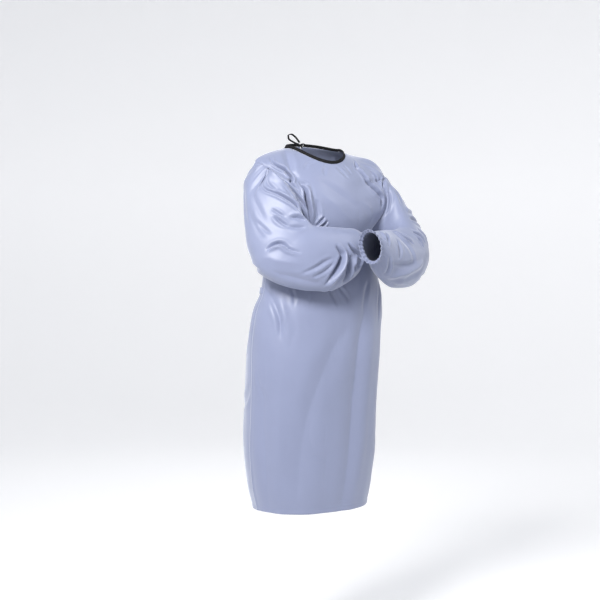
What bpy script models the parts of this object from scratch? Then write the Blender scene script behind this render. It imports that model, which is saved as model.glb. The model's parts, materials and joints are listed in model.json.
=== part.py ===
"""Barrier gown, worn with folded arms and held up by the wearer's shoulders.

The gown faces -Y, the wearer's right is -X, and the origin is the middle of the neck opening at the height
of the shoulder seams' inner ends. Every panel is an open surface worked out from a short table of sections,
and Solidify gives it the thickness of its cloth.
"""

import math

import bpy
import numpy as np

# Driving sizes, in metres

CLOTH = 0.0016  # wall of every cloth panel
SEAM_GAP = 0.0006  # between the middle lines of panels that meet at a seam
TIP_TRIM = 0.0007  # more than that on each panel at the shoulder's tip, where they meet at a corner
ARMHOLE_GAP = 0.0024  # more where a sleeve leaves its armhole at an angle
OVERLAP_GAP = 0.0040  # between the middle lines of the two back panels where one lies on the other
TOUCHING = 0.0026  # the same for a sleeve that rests on the chest or on the other sleeve
BINDING_WIDTH = 0.010
BINDING_RISE = 0.55  # how upright the binding stands: 0 goes on along the panels
BINDING_WALL = 0.0030
BINDING_GAP = 0.0019  # from the panels' edge, because the binding stands at an angle to them
BELOW_NECK = 0.25  # the section that shows which way the panels run at the neck
TAPE_WIDTH = 0.0065
TAPE_WALL = 0.0018
STRAP_WIDTH = 0.0175
STRAP_WALL = 0.0018
STRAP_LIFT = 0.0026  # middle of a strap above the middle of the panel that it lies on

# How closely each kind of piece is divided

FRONT_COLUMNS = 28
BACK_COLUMNS = 12
# Stretches of the body: first section, last section, rows of faces
BODY_STRETCHES = (
    (0.0, 1.0, 5),
    (1.0, 3.5, 12),
    (3.5, 4.9, 4),
    (4.9, 5.1, 1),
    (5.1, 10.6, 12),
)
SLEEVE_COLUMNS = 24
SLEEVE_ROWS = 20
CUFF_ROWS = 8
BINDING_COLUMNS = 57

# How closely lines and surfaces are measured

LINE_STEPS = 200
FOLD_STEPS = 40
RING_POINTS = 96
SAMPLE_ROWS = 110
SAMPLE_COLUMNS = 90
SAMPLE_END = 6.5  # the section down to which the sleeves can rest on the body
NEARBY = 0.008  # how far aside of its nearest point a point may be and still lie over a surface

CLOTH_COLOUR = (0.37, 0.42, 0.66, 1.0)
CLOTH_ROUGHNESS = 0.55
BINDING_COLOUR = (0.008, 0.008, 0.010, 1.0)
BINDING_ROUGHNESS = 0.7

# The front panel, one row for each section from neck to hem. down counts sections. edge is the left edge,
# first along the shoulder seam, then round the armhole, then down the side seam. mid is the centre front,
# where x is 0. square is 2 for an oval section and more for a boxier one. open is 0 where the section
# wraps round to the back and 1 where it ends at the armhole.
FRONT_NAMES = ("down", "edge_x", "edge_y", "edge_z", "mid_y", "mid_z", "square", "open")
FRONT_SECTIONS = (
    (0.0, 0.086, 0.012, 0.002, -0.088, -0.045, 2.00, 0.00),
    (0.5, 0.136, 0.012, -0.010, -0.099, -0.066, 2.00, 0.10),
    (1.0, 0.197, 0.000, -0.040, -0.112, -0.096, 2.10, 0.50),
    (1.5, 0.181, -0.058, -0.068, -0.122, -0.128, 2.20, 1.00),
    (2.0, 0.155, -0.089, -0.105, -0.130, -0.160, 2.25, 1.00),
    (2.5, 0.141, -0.099, -0.155, -0.133, -0.196, 2.25, 1.00),
    (3.0, 0.142, -0.077, -0.208, -0.129, -0.232, 2.25, 0.80),
    (3.5, 0.157, -0.022, -0.240, -0.121, -0.264, 2.20, 0.30),
    (4.0, 0.166, -0.008, -0.300, -0.117, -0.304, 2.15, 0.00),
    (5.0, 0.186, -0.008, -0.395, -0.124, -0.395, 2.15, 0.00),
    (6.0, 0.200, -0.004, -0.475, -0.135, -0.475, 2.15, 0.00),
    (7.0, 0.202, 0.002, -0.560, -0.137, -0.560, 2.20, 0.00),
    (8.0, 0.200, 0.010, -0.700, -0.122, -0.700, 2.20, 0.00),
    (9.0, 0.199, 0.020, -0.820, -0.112, -0.820, 2.25, 0.00),
    (10.0, 0.188, 0.028, -0.940, -0.100, -0.942, 2.25, 0.00),
    (10.6, 0.172, 0.030, -1.008, -0.088, -1.012, 2.30, 0.00),
)

# The back, in the same way. past is how far each panel runs on beyond the centre back.
BACK_NAMES = FRONT_NAMES + ("past",)
BACK_SECTIONS = (
    (0.0, 0.086, 0.012, 0.002, 0.074, 0.014, 2.00, 0.00, -0.005),
    (0.5, 0.136, 0.012, -0.010, 0.091, -0.010, 2.00, 0.10, 0.014),
    (1.0, 0.197, 0.000, -0.040, 0.104, -0.042, 2.10, 0.50, 0.025),
    (1.5, 0.203, 0.030, -0.076, 0.110, -0.078, 2.20, 1.00, 0.032),
    (2.0, 0.196, 0.048, -0.115, 0.114, -0.115, 2.25, 1.00, 0.040),
    (2.5, 0.183, 0.046, -0.160, 0.114, -0.160, 2.25, 1.00, 0.046),
    (3.0, 0.169, 0.020, -0.210, 0.110, -0.208, 2.25, 0.80, 0.052),
    (3.5, 0.157, -0.022, -0.240, 0.104, -0.246, 2.20, 0.30, 0.056),
    (4.0, 0.166, -0.008, -0.300, 0.092, -0.302, 2.15, 0.00, 0.062),
    (5.0, 0.186, -0.008, -0.395, 0.082, -0.395, 2.15, 0.00, 0.070),
    (6.0, 0.200, -0.004, -0.475, 0.104, -0.475, 2.15, 0.00, 0.078),
    (7.0, 0.202, 0.002, -0.560, 0.130, -0.560, 2.20, 0.00, 0.084),
    (8.0, 0.200, 0.010, -0.700, 0.150, -0.700, 2.20, 0.00, 0.092),
    (9.0, 0.199, 0.020, -0.820, 0.156, -0.820, 2.25, 0.00, 0.098),
    (10.0, 0.188, 0.028, -0.940, 0.150, -0.940, 2.25, 0.00, 0.100),
    (10.6, 0.172, 0.030, -1.008, 0.134, -1.008, 2.30, 0.00, 0.100),
)

# How far the body stands to the left of the middle plane
LEAN_NAMES = ("down", "x")
LEAN = (
    (0.0, 0.000),
    (3.5, 0.000),
    (4.0, 0.006),
    (4.6, 0.013),
    (5.0, 0.014),
    (5.6, 0.006),
    (7.0, -0.002),
    (8.5, -0.002),
    (10.6, 0.000),
)

# A sleeve, one row for each section from the armhole to the frill past the elastic. Each section is a
# smooth closed curve through four points: crook is on the side of the elbow's crook, away on the side that
# faces away from the body, elbow on the side of the elbow's tip, and body on the side that faces the body.
SLEEVE_NAMES = (
    ("along",)
    + ("crook_x", "crook_y", "crook_z")
    + ("away_x", "away_y", "away_z")
    + ("elbow_x", "elbow_y", "elbow_z")
    + ("body_x", "body_y", "body_z")
)
RIGHT_SLEEVE = (
    (1.0, -0.131, -0.132, -0.173, -0.212, -0.028, -0.090, -0.199, 0.036, -0.150, -0.166, -0.036, -0.252),
    (2.0, -0.122, -0.146, -0.196, -0.223, -0.048, -0.145, -0.204, 0.020, -0.200, -0.172, -0.046, -0.266),
    (3.0, -0.112, -0.152, -0.211, -0.229, -0.068, -0.200, -0.211, 0.000, -0.250, -0.172, -0.056, -0.280),
    (4.0, -0.103, -0.154, -0.217, -0.229, -0.092, -0.248, -0.220, -0.026, -0.298, -0.163, -0.062, -0.296),
    (5.0, -0.096, -0.153, -0.219, -0.219, -0.120, -0.280, -0.219, -0.058, -0.339, -0.150, -0.072, -0.310),
    (6.0, -0.088, -0.152, -0.220, -0.196, -0.146, -0.300, -0.195, -0.094, -0.367, -0.132, -0.088, -0.316),
    (7.0, -0.076, -0.152, -0.220, -0.152, -0.172, -0.306, -0.158, -0.126, -0.384, -0.112, -0.108, -0.310),
    (8.0, -0.060, -0.153, -0.220, -0.098, -0.188, -0.308, -0.108, -0.150, -0.393, -0.078, -0.122, -0.306),
    (9.0, -0.040, -0.155, -0.221, -0.052, -0.194, -0.308, -0.060, -0.161, -0.395, -0.044, -0.128, -0.308),
    (10.0, -0.012, -0.156, -0.222, -0.012, -0.196, -0.299, -0.010, -0.163, -0.376, -0.010, -0.130, -0.299),
    (11.0, 0.022, -0.156, -0.224, 0.029, -0.191, -0.285, 0.034, -0.160, -0.346, 0.027, -0.130, -0.285),
    (12.0, 0.050, -0.154, -0.234, 0.055, -0.179, -0.269, 0.058, -0.156, -0.304, 0.053, -0.133, -0.269),
    (12.5, 0.059, -0.153, -0.238, 0.064, -0.176, -0.269, 0.066, -0.155, -0.299, 0.062, -0.134, -0.269),
    (13.0, 0.068, -0.152, -0.232, 0.073, -0.181, -0.268, 0.076, -0.154, -0.304, 0.071, -0.129, -0.268),
)
LEFT_SLEEVE = (
    (1.0, 0.190, -0.113, -0.163, 0.235, -0.045, -0.105, 0.228, 0.032, -0.165, 0.172, -0.035, -0.252),
    (2.0, 0.193, -0.135, -0.193, 0.263, -0.065, -0.155, 0.248, 0.012, -0.210, 0.180, -0.050, -0.266),
    (3.0, 0.189, -0.150, -0.211, 0.285, -0.090, -0.203, 0.266, -0.012, -0.258, 0.183, -0.068, -0.280),
    (4.0, 0.178, -0.161, -0.221, 0.296, -0.125, -0.248, 0.272, -0.045, -0.302, 0.180, -0.090, -0.292),
    (5.0, 0.162, -0.171, -0.226, 0.278, -0.163, -0.282, 0.266, -0.085, -0.342, 0.168, -0.112, -0.302),
    (6.0, 0.140, -0.181, -0.228, 0.238, -0.199, -0.306, 0.229, -0.126, -0.372, 0.146, -0.137, -0.306),
    (7.0, 0.114, -0.194, -0.228, 0.193, -0.228, -0.316, 0.184, -0.166, -0.386, 0.118, -0.160, -0.306),
    (8.0, 0.088, -0.211, -0.229, 0.142, -0.250, -0.314, 0.128, -0.202, -0.385, 0.082, -0.182, -0.305),
    (9.0, 0.060, -0.230, -0.231, 0.094, -0.269, -0.301, 0.078, -0.234, -0.367, 0.048, -0.204, -0.301),
    (10.0, 0.034, -0.247, -0.234, 0.054, -0.284, -0.284, 0.034, -0.262, -0.334, 0.017, -0.226, -0.284),
    (11.0, 0.016, -0.257, -0.236, 0.033, -0.289, -0.276, 0.018, -0.270, -0.316, 0.003, -0.238, -0.276),
    (11.5, 0.008, -0.263, -0.237, 0.023, -0.292, -0.275, 0.010, -0.275, -0.313, -0.004, -0.246, -0.275),
    (12.0, -0.001, -0.268, -0.230, 0.017, -0.302, -0.275, 0.001, -0.281, -0.320, -0.016, -0.247, -0.275),
)

# Large folds of the front: a ridge where depth is above 0, a trough below it. across and down are places
# on the panel, and bow is how far the middle of the fold is moved sideways, to the wearer's right.
FOLD_NAMES = ("across_0", "down_0", "across_1", "down_1", "bow", "depth", "width")
FRONT_FOLDS = (
    (-0.75, 0.72, -0.60, 2.60, -0.014, -0.006, 0.016),
    (-0.32, 1.20, -0.40, 2.80, 0.000, 0.006, 0.016),
    (0.37, 0.40, 0.60, 2.10, 0.010, -0.006, 0.016),
    (-0.80, 5.20, -0.58, 6.30, 0.005, -0.005, 0.020),
    (0.28, 5.50, 0.09, 10.50, 0.003, -0.009, 0.030),
    (0.02, 6.90, -0.38, 10.20, 0.004, -0.006, 0.034),
)
BACK_FOLDS = (
    (-0.70, 3.80, -0.20, 5.60, 0.010, -0.007, 0.022),
    (0.66, 3.90, 0.20, 5.50, 0.012, -0.006, 0.020),
    (-0.34, 5.30, -0.42, 9.60, 0.014, -0.009, 0.030),
    (0.38, 5.40, 0.50, 9.80, 0.016, -0.009, 0.032),
    (0.72, 5.40, 0.80, 8.60, 0.010, 0.007, 0.026),
    (-0.97, 7.80, -0.60, 8.30, 0.004, -0.006, 0.020),
)
# Folds of the sleeves: round is 0 at the crook, a quarter on the side away from the body, and a half at the
# elbow's tip
SLEEVE_FOLD_NAMES = ("round_0", "along_0", "round_1", "along_1", "bow", "depth", "width")
RIGHT_SLEEVE_FOLDS = (
    (0.22, 1.20, 0.08, 1.52, 0.000, -0.006, 0.014),
    (0.18, 2.60, 0.11, 3.95, 0.000, -0.006, 0.014),
    (0.30, 2.30, 0.20, 4.25, 0.000, -0.005, 0.018),
    (0.24, 4.95, 0.21, 6.90, 0.000, -0.008, 0.016),
    (0.20, 9.00, 0.38, 8.90, 0.000, -0.006, 0.014),
    (0.21, 9.75, 0.41, 8.95, 0.000, 0.007, 0.014),
)
LEFT_SLEEVE_FOLDS = (
    (0.02, 6.95, 0.09, 6.40, 0.000, -0.006, 0.013),
    (0.10, 4.40, 0.18, 5.10, 0.000, -0.006, 0.014),
    (0.37, 9.30, 0.24, 7.10, 0.000, 0.007, 0.018),
)

# Cloth drawn along by the folded arms: where, how far round it, and how far it is moved
PULL_NAMES = ("x", "y", "z", "reach", "move_x", "move_y", "move_z")
PULLS = (
    (0.197, 0.000, -0.060, 0.080, 0.006, -0.034, -0.034),
    (0.168, 0.000, -0.030, 0.042, 0.004, -0.004, 0.022),
    (-0.197, 0.000, -0.060, 0.080, 0.004, -0.004, 0.000),
    (0.146, -0.098, -0.150, 0.060, 0.040, 0.010, 0.000),
    (-0.141, -0.099, -0.160, 0.050, 0.020, -0.006, 0.000),
)
SHOULDER_TIP = 1.0  # the section where the shoulder seam ends at the armhole
UNDERARM = 3.5  # the section where the armhole ends at the side seam
WRAPPED_LIFT = 1.7  # how a section's height runs from its edge to its middle, where it wraps round
OPEN_BOW = 2.0  # the same, and its depth too, where it ends at an armhole
TAPER = 0.8  # how fast a fold dies out at its ends, less for faster
OVERLAP_STARTS = 0.005  # the back panels part over this length round where the overlap ends at the neck
OVERLAP_FULL = 0.008
OVERLAP_EASE = 0.03  # how far aside the under layer starts to sink
TIP_REACH = 0.25  # sections to each side of the shoulder's tip that are trimmed more

# Gathers of the wrists
GATHERS = 12
GATHER_DEPTH = 0.0032
GATHER_REACH = 1.3  # sections from the elastic over which the gathers die out
RIGHT_ELASTIC = 12.5
LEFT_ELASTIC = 11.5

# The neck tie
NECK_KNOT = (0.0, 0.0745, 0.0195)
NECK_KNOT_SIZE = (0.0085, 0.009, 0.010)
# Points of the neck tie's loops as x, y and z from the middle of its knot
NECK_LOOP_RIGHT = (
    (-0.0050, 0.0035, 0.0020),
    (-0.0200, 0.0080, 0.0080),
    (-0.0350, 0.0120, 0.0180),
    (-0.0360, 0.0130, 0.0280),
    (-0.0270, 0.0110, 0.0310),
    (-0.0150, 0.0080, 0.0230),
    (-0.0035, 0.0035, 0.0070),
)
NECK_LOOP_LEFT = (
    (0.0052, 0.0050, 0.0030),
    (0.0180, 0.0130, 0.0050),
    (0.0340, 0.0210, -0.0010),
    (0.0400, 0.0250, -0.0100),
    (0.0330, 0.0250, -0.0150),
    (0.0180, 0.0190, -0.0090),
    (0.0060, 0.0100, -0.0010),
)
# Runs of a tie that lies on the back panels: x and z from its knot, and height above the panels
NECK_END_RIGHT = (
    (-0.0040, -0.0066, 0.0046),
    (-0.0090, -0.0200, 0.0042),
    (-0.0150, -0.0500, 0.0038),
    (-0.0200, -0.0900, 0.0036),
    (-0.0160, -0.1300, 0.0036),
)
NECK_END_LEFT = (
    (0.0042, -0.0066, 0.0046),
    (0.0100, -0.0220, 0.0042),
    (0.0170, -0.0520, 0.0038),
    (0.0150, -0.0850, 0.0036),
    (0.0210, -0.1150, 0.0036),
)
NECK_LOOP_RIGHT_BROAD = (-0.25, 0.90, -0.35)  # the direction of the tape's width
NECK_LOOP_LEFT_BROAD = (0.10, 0.90, 0.43)
NECK_LOOP_POINTS = 22
RUN_POINTS = 3  # points for each row of a run's table
TIES_END = 8.0  # the section and the place across that no tie passes
TIES_EDGE = 0.75

# The waist tie
WAIST_ROWS = (4.9, 5.1)  # the sections that the waist strap's edges follow
WAIST_KNOT_SIZE = (0.018, 0.013, 0.018)
STRAP_START = 0.0125  # from the middle of the knot to the strap's end, across the back
STRAP_LAST_STEP = 0.008  # the least distance between a strap's end and the points before it
WAIST_LOOP = (
    (0.0110, -0.0010, 0.0125),
    (0.0300, -0.0060, 0.0160),
    (0.0550, -0.0150, 0.0165),
    (0.0760, -0.0225, 0.0145),
    (0.0805, -0.0242, 0.0106),
    (0.0760, -0.0225, 0.0074),
    (0.0530, -0.0150, 0.0076),
    (0.0300, -0.0070, 0.0076),
    (0.0115, -0.0015, 0.0078),
)
WAIST_END = (
    (0.0100, -0.0185, 0.0046),
    (0.0130, -0.0400, 0.0044),
    (0.0210, -0.0900, 0.0040),
    (0.0180, -0.1400, 0.0040),
    (0.0250, -0.1850, 0.0040),
)
WAIST_LOOP_WIDTH = 0.015
WAIST_LOOP_SLANT = 0.35  # how far a loop's width leans outward


# Reading a table

def column(names, rows, name):
    """One column of a table as an array."""
    return np.array([row[names.index(name)] for row in rows], float)


def through(x, y, at):
    """A curve through the values y at places x, read at other places, that never overshoots a value.

    y may have more axes after its first, and each is read on its own (monotone cubic).
    """
    wide = (-1,) + (1,) * (y.ndim - 1)
    step = np.diff(x).reshape(wide)
    slope = np.diff(y, axis=0) / step
    before, after = slope[:-1], slope[1:]
    same_way = before * after > 0
    mean = 2 * before * after / np.where(same_way, before + after, 1.0)
    tangent = np.concatenate([slope[:1], np.where(same_way, mean, 0.0), slope[-1:]])
    i = np.clip(np.searchsorted(x, at, side="right") - 1, 0, len(x) - 2)
    t = ((at - x[i]) / np.diff(x)[i]).reshape(np.shape(at) + (1,) * (y.ndim - 1))
    reach = np.diff(x)[i].reshape(t.shape)
    return (
        y[i] * (1 + 2 * t) * (1 - t) ** 2
        + tangent[i] * reach * t * (1 - t) ** 2
        + y[i + 1] * t * t * (3 - 2 * t)
        + tangent[i + 1] * reach * t * t * (t - 1)
    )


def read(names, rows, name, at):
    """A column of a table read at any place down it."""
    return through(column(names, rows, names[0]), column(names, rows, name), np.asarray(at, float))


def lengths(points):
    """How far each point of a line is from the line's start, along it."""
    steps = np.linalg.norm(np.diff(points, axis=0), axis=-1)
    return np.concatenate([[0.0], np.cumsum(steps)])


def even(values, points, count):
    """count of the values that go with a line's points, evenly spaced along the line."""
    far = lengths(points)
    return np.interp(np.linspace(0, far[-1], count), far, values)


def ease(t):
    """0 to 1 with a soft start and end."""
    t = np.clip(t, 0.0, 1.0)
    return t * t * (3 - 2 * t)


# The body's form

def drawn_by_arms(points):
    """The cloth near each shoulder, moved as the folded arms draw it."""
    moved = points.copy()
    for row in PULLS:
        entry = dict(zip(PULL_NAMES, row))
        centre = np.array([entry[axis] for axis in "xyz"])
        move = np.array([entry["move_" + axis] for axis in "xyz"])
        away = np.linalg.norm(points - centre, axis=-1)
        moved += np.exp(-((away / entry["reach"]) ** 2))[..., None] * move
    return moved


def edge_of(names, rows, axis, down):
    """One axis of a panel's side edge. Along a seam it is the front's edge for both panels."""
    own = read(names, rows, "edge_" + axis, down)
    shared = read(FRONT_NAMES, FRONT_SECTIONS, "edge_" + axis, down)
    return np.where((down <= SHOULDER_TIP) | (down >= UNDERARM), shared, own)


def section_points(names, rows, down, across):
    """Points of the body's surface. across runs from -1, the right edge, over 0, the middle, to 1."""
    turn = np.asarray(across) * math.pi / 2
    wrapped = 2 / read(names, rows, "square", down)
    opened = read(names, rows, "open", down)
    sine = np.sign(turn) * np.abs(np.sin(turn)) ** (wrapped + (1 - wrapped) * opened)
    cosine = np.abs(np.cos(turn)) ** (wrapped + (OPEN_BOW - wrapped) * opened)
    lift = np.abs(np.cos(turn)) ** (WRAPPED_LIFT + (OPEN_BOW - WRAPPED_LIFT) * opened)
    edge = {axis: edge_of(names, rows, axis, down) for axis in "xyz"}
    x = read(LEAN_NAMES, LEAN, "x", down) + edge["x"] * sine
    y = edge["y"] + (read(names, rows, "mid_y", down) - edge["y"]) * cosine
    z = edge["z"] + (read(names, rows, "mid_z", down) - edge["z"]) * lift
    return drawn_by_arms(np.stack([x, y, z], axis=-1))


def front_points(down, across):
    """Points of the front's surface."""
    return section_points(FRONT_NAMES, FRONT_SECTIONS, down, across)


def back_points(down, across):
    """Points of the back's surface."""
    return section_points(BACK_NAMES, BACK_SECTIONS, down, across)


def body_rows():
    """The sections that have a row of points, evenly spaced along each stretch of the edge."""
    rows = []
    for start, stop, count in BODY_STRETCHES:
        fine = np.linspace(start, stop, LINE_STEPS)
        rows.extend(even(fine, front_points(fine, np.ones(LINE_STEPS)), count + 1)[:-1])
    rows.append(BODY_STRETCHES[-1][1])
    return np.array(rows)


def across_of(points_at, down, start, stop, count):
    """count places from start to stop across one section, evenly spaced along the cloth."""
    fine = np.linspace(start, stop, LINE_STEPS)
    return even(fine, points_at(np.full(LINE_STEPS, down), fine), count)


def panel(points_at, rows, start, stop, count):
    """A panel's down and across grids. start and stop give each row's first and last place across."""
    across = np.stack([across_of(points_at, d, a, b, count) for d, a, b in zip(rows, start, stop)])
    down = np.repeat(rows[:, None], count, axis=1)
    return down, across


def centre_back(rows, side):
    """How far over the middle a back panel's free edge lies at each section, as places across."""
    past = read(BACK_NAMES, BACK_SECTIONS, "past", rows)
    width = read(BACK_NAMES, BACK_SECTIONS, "edge_x", rows)
    wrapped = 2 / read(BACK_NAMES, BACK_SECTIONS, "square", rows)
    power = wrapped + (1 - wrapped) * read(BACK_NAMES, BACK_SECTIONS, "open", rows)
    share = np.sign(past) * (np.abs(past) / width) ** (1 / power)
    return -side * np.arcsin(share) / (math.pi / 2)


# Surfaces and folds

def normals_of(points, closed):
    """The outward direction at each point of a grid of points.

    The grid's rows run down the garment, and its columns run so that down crossed with across points out.
    """
    if closed:
        side = np.roll(points, -1, axis=1) - np.roll(points, 1, axis=1)
    else:
        side = np.gradient(points, axis=1)
    down = np.gradient(points, axis=0)
    normal = np.cross(down, side)
    return normal / np.linalg.norm(normal, axis=-1, keepdims=True)


def fold_path(points_at, names, fold):
    """Points along a fold on a surface, with its middle moved sideways by its bow."""
    count = FOLD_STEPS
    entry = dict(zip(names, fold))
    first, second, third, fourth = names[:4]
    down = np.linspace(entry[second], entry[fourth], count)
    across = np.linspace(entry[first], entry[third], count)
    path = points_at(down, across)
    middle = count // 2
    step = 0.01
    here = path[middle]
    run_down = points_at(down[middle : middle + 1] + step, across[middle : middle + 1])[0] - here
    run_across = points_at(down[middle : middle + 1], across[middle : middle + 1] + step)[0] - here
    side = np.cross(path[-1] - path[0], np.cross(run_down, run_across))
    side /= np.linalg.norm(side)
    bend = np.sin(np.linspace(0, math.pi, count)) * entry["bow"]
    return path + bend[:, None] * side, entry


def fold_lift(points, points_at, names, folds):
    """How far each point of a surface is raised or sunk by its folds."""
    lift = np.zeros(points.shape[:-1])
    for fold in folds:
        path, entry = fold_path(points_at, names, fold)
        away = np.linalg.norm(points[..., None, :] - path, axis=-1)
        where = np.argmin(away, axis=-1) / (len(path) - 1)
        taper = np.sin(math.pi * where) ** TAPER
        lift += entry["depth"] * taper * np.exp(-((away.min(axis=-1) / entry["width"]) ** 2))
    return lift


def folded(points, closed, points_at, names, folds):
    """A surface with its folds."""
    lift = fold_lift(points, points_at, names, folds)
    return points + normals_of(points, closed) * lift[..., None]


def kept_off(points, surface, normals, gap):
    """Points that come too near another surface, or through it, moved out along its normals.

    surface and normals list that surface's points and its outward directions there.
    """
    flat = points.reshape(-1, 3)
    moved = flat.copy()
    for i, point in enumerate(flat):
        offset = point - surface
        nearest = np.argmin(np.einsum("ij,ij->i", offset, offset))
        height = offset[nearest] @ normals[nearest]
        aside = np.linalg.norm(offset[nearest] - height * normals[nearest])
        if aside < NEARBY and height < gap:
            moved[i] = point + (gap - height) * normals[nearest]
    return moved.reshape(points.shape)


# The sleeves' form

def section_round(row, turn):
    """One section of a sleeve: a smooth closed curve that meets one of its four points every quarter turn."""
    entry = dict(zip(SLEEVE_NAMES, row))
    points = ("crook", "away", "elbow", "body")
    crook, away, elbow, body = (np.array([entry[f"{p}_{axis}"] for axis in "xyz"]) for p in points)
    return (
        (crook + away + elbow + body) / 4
        + np.cos(turn)[:, None] * (crook - elbow) / 2
        + np.sin(turn)[:, None] * (away - body) / 2
        + np.cos(2 * turn)[:, None] * (crook - away + elbow - body) / 4
    )


def armhole(side, count):
    """The armhole's edge, from the middle of its front over the shoulder and down to the underarm."""
    fine = np.linspace(SHOULDER_TIP, UNDERARM, LINE_STEPS)
    edge = np.full(LINE_STEPS, float(side))
    half = count // 2
    up = even(fine[::-1], front_points(fine, edge)[::-1], half + 1)[:-1]
    down = even(fine, back_points(fine, edge), half + 1)[:-1]
    sides = np.full(half, float(side))
    ring = np.concatenate([front_points(up, sides), back_points(down, sides)])
    return np.roll(ring, -(count // 4), axis=0)


def sleeve_sections(rows, side, count):
    """All of a sleeve's sections, from its armhole on, with the same number of points each."""
    turn = np.arange(count) / count * 2 * math.pi
    rings = [armhole(side, count)]
    rings += [section_round(row, turn) for row in rows]
    places = np.concatenate([[0.0], column(SLEEVE_NAMES, rows, "along")])
    return places, np.stack(rings)


def sleeve_points(rows, side):
    """A function that gives points of one sleeve's surface, by place along it and round it."""
    count = RING_POINTS
    places, rings = sleeve_sections(rows, side, count)
    rings = np.concatenate([rings, rings[:, :1]], axis=1)

    def points_at(along, round_it):
        along = np.asarray(along, float)
        column_of = (np.asarray(round_it, float) % 1.0) * count
        left = np.floor(column_of).astype(int)
        share = (column_of - left)[..., None]
        flat = through(places, rings, along.reshape(-1))
        pick = np.arange(flat.shape[0])
        first = flat[pick, left.reshape(-1)].reshape(along.shape + (3,))
        second = flat[pick, left.reshape(-1) + 1].reshape(along.shape + (3,))
        return first * (1 - share) + second * share

    return points_at


def sleeve_rows(points_at, start, stop, count):
    """count places along a sleeve, evenly spaced by the cloth's mean length."""
    fine = np.linspace(start, stop, LINE_STEPS)
    lines = [points_at(fine, np.full(LINE_STEPS, r)) for r in np.arange(8) / 8]
    far = np.mean([lengths(line) for line in lines], axis=0)
    return np.interp(np.linspace(0, far[-1], count), far, fine)


def gathered(points, round_it, along, elastic):
    """A sleeve with the gathers that its elastic makes."""
    strength = ease((along - elastic + GATHER_REACH) / GATHER_REACH)
    lift = GATHER_DEPTH * strength * np.cos(2 * math.pi * GATHERS * round_it)
    return points + normals_of(points, True) * lift[..., None]


def sleeve_grid(rows, side, folds, elastic, along, count):
    """A stretch of a sleeve's finished surface at given places along it, with count points round it."""
    points_at = sleeve_points(rows, side)
    along_grid = np.repeat(along[:, None], count, axis=1)
    round_grid = np.repeat(side * np.arange(count)[None] / count, len(along), axis=0)
    points = points_at(along_grid, round_grid)
    points = folded(points, True, points_at, SLEEVE_FOLD_NAMES, folds)
    return gathered(points, round_grid, along_grid, elastic)


# Making objects

def make_material(name, colour, roughness):
    """A matt cloth material."""
    material = bpy.data.materials.new(name)
    material.use_nodes = True
    shader = material.node_tree.nodes["Principled BSDF"]
    shader.inputs["Base Color"].default_value = colour
    shader.inputs["Roughness"].default_value = roughness
    shader.inputs["Metallic"].default_value = 0.0
    return material


def row_faces(above, below, first_above, first_below, closed):
    """Faces between two rows of points. The lower row may have twice as many points as the upper."""
    each = below // above
    faces = []
    for j in range(above if closed else above - 1):
        right = first_above + (j + 1) % above
        lower = [first_below + (j * each + k) % below for k in range(each + 1)]
        faces.append([first_above + j] + lower + [right])
    return faces


def make_cloth(name, rows, closed, wall, material, collection):
    """A piece of cloth: rows of points joined into one surface, with its wall from Solidify."""
    starts = np.concatenate([[0], np.cumsum([len(row) for row in rows])]).tolist()
    faces = []
    for i in range(len(rows) - 1):
        faces += row_faces(len(rows[i]), len(rows[i + 1]), starts[i], starts[i + 1], closed)
    mesh = bpy.data.meshes.new(name)
    mesh.from_pydata(np.concatenate(rows).tolist(), [], faces)
    mesh.shade_smooth()
    mesh.materials.append(material)
    piece = bpy.data.objects.new(name, mesh)
    collection.objects.link(piece)
    shell = piece.modifiers.new("wall", "SOLIDIFY")
    shell.thickness = wall
    shell.offset = 0.0
    return piece


def drawn_in(points, rows, columns):
    """A grid whose first (0) or last (-1) columns stand back from a seam by half its gap."""
    trimmed = points.copy()
    amount = SEAM_GAP / 2 + TIP_TRIM * np.exp(-(((rows - SHOULDER_TIP) / TIP_REACH) ** 2))
    for edge in columns:
        beside = 1 if edge == 0 else -2
        inward = points[:, beside] - points[:, edge]
        inward /= np.linalg.norm(inward, axis=-1, keepdims=True)
        trimmed[:, edge] += inward * amount[:, None]
    return trimmed


# The pieces

def front_surface(down, across):
    """The front's finished surface."""
    return folded(front_points(down, across), False, front_points, FOLD_NAMES, FRONT_FOLDS)


def back_surface(down, across):
    """The back's finished surface, as one layer. across runs from left to right, so that it faces out."""
    return folded(back_points(down, across), False, back_points, FOLD_NAMES, BACK_FOLDS)


def build_front(cloth, collection):
    """The front panel, from side seam to side seam."""
    rows = body_rows()
    ends = np.ones(len(rows))
    down, across = panel(front_points, rows, -ends, ends, FRONT_COLUMNS)
    points = drawn_in(front_surface(down, across), rows, (0, -1))
    make_cloth("front_panel", list(points), False, CLOTH, cloth, collection)


def under_layer(points, rows):
    """The right back panel moved in where the left one lies on it."""
    past = read(BACK_NAMES, BACK_SECTIONS, "past", rows)[:, None]
    depth = OVERLAP_GAP * np.clip((past + OVERLAP_STARTS) / OVERLAP_FULL, 0, 1)
    across = points[..., 0] - read(LEAN_NAMES, LEAN, "x", rows)[:, None]
    share = ease((across + past + OVERLAP_EASE) / OVERLAP_EASE)
    return points - normals_of(points, False) * (depth * share)[..., None]


def build_backs(cloth, collection):
    """The two back panels. The left one lies over the right one down the middle."""
    rows = body_rows()
    ends = np.ones(len(rows))
    down, across = panel(back_points, rows, ends, centre_back(rows, 1), BACK_COLUMNS)
    points = drawn_in(back_surface(down, across), rows, (0,))
    make_cloth("back_left_panel", list(points), False, CLOTH, cloth, collection)
    down, across = panel(back_points, rows, centre_back(rows, -1), -ends, BACK_COLUMNS)
    points = drawn_in(under_layer(back_surface(down, across), rows), rows, (-1,))
    make_cloth("back_right_panel", list(points), False, CLOTH, cloth, collection)


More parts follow.
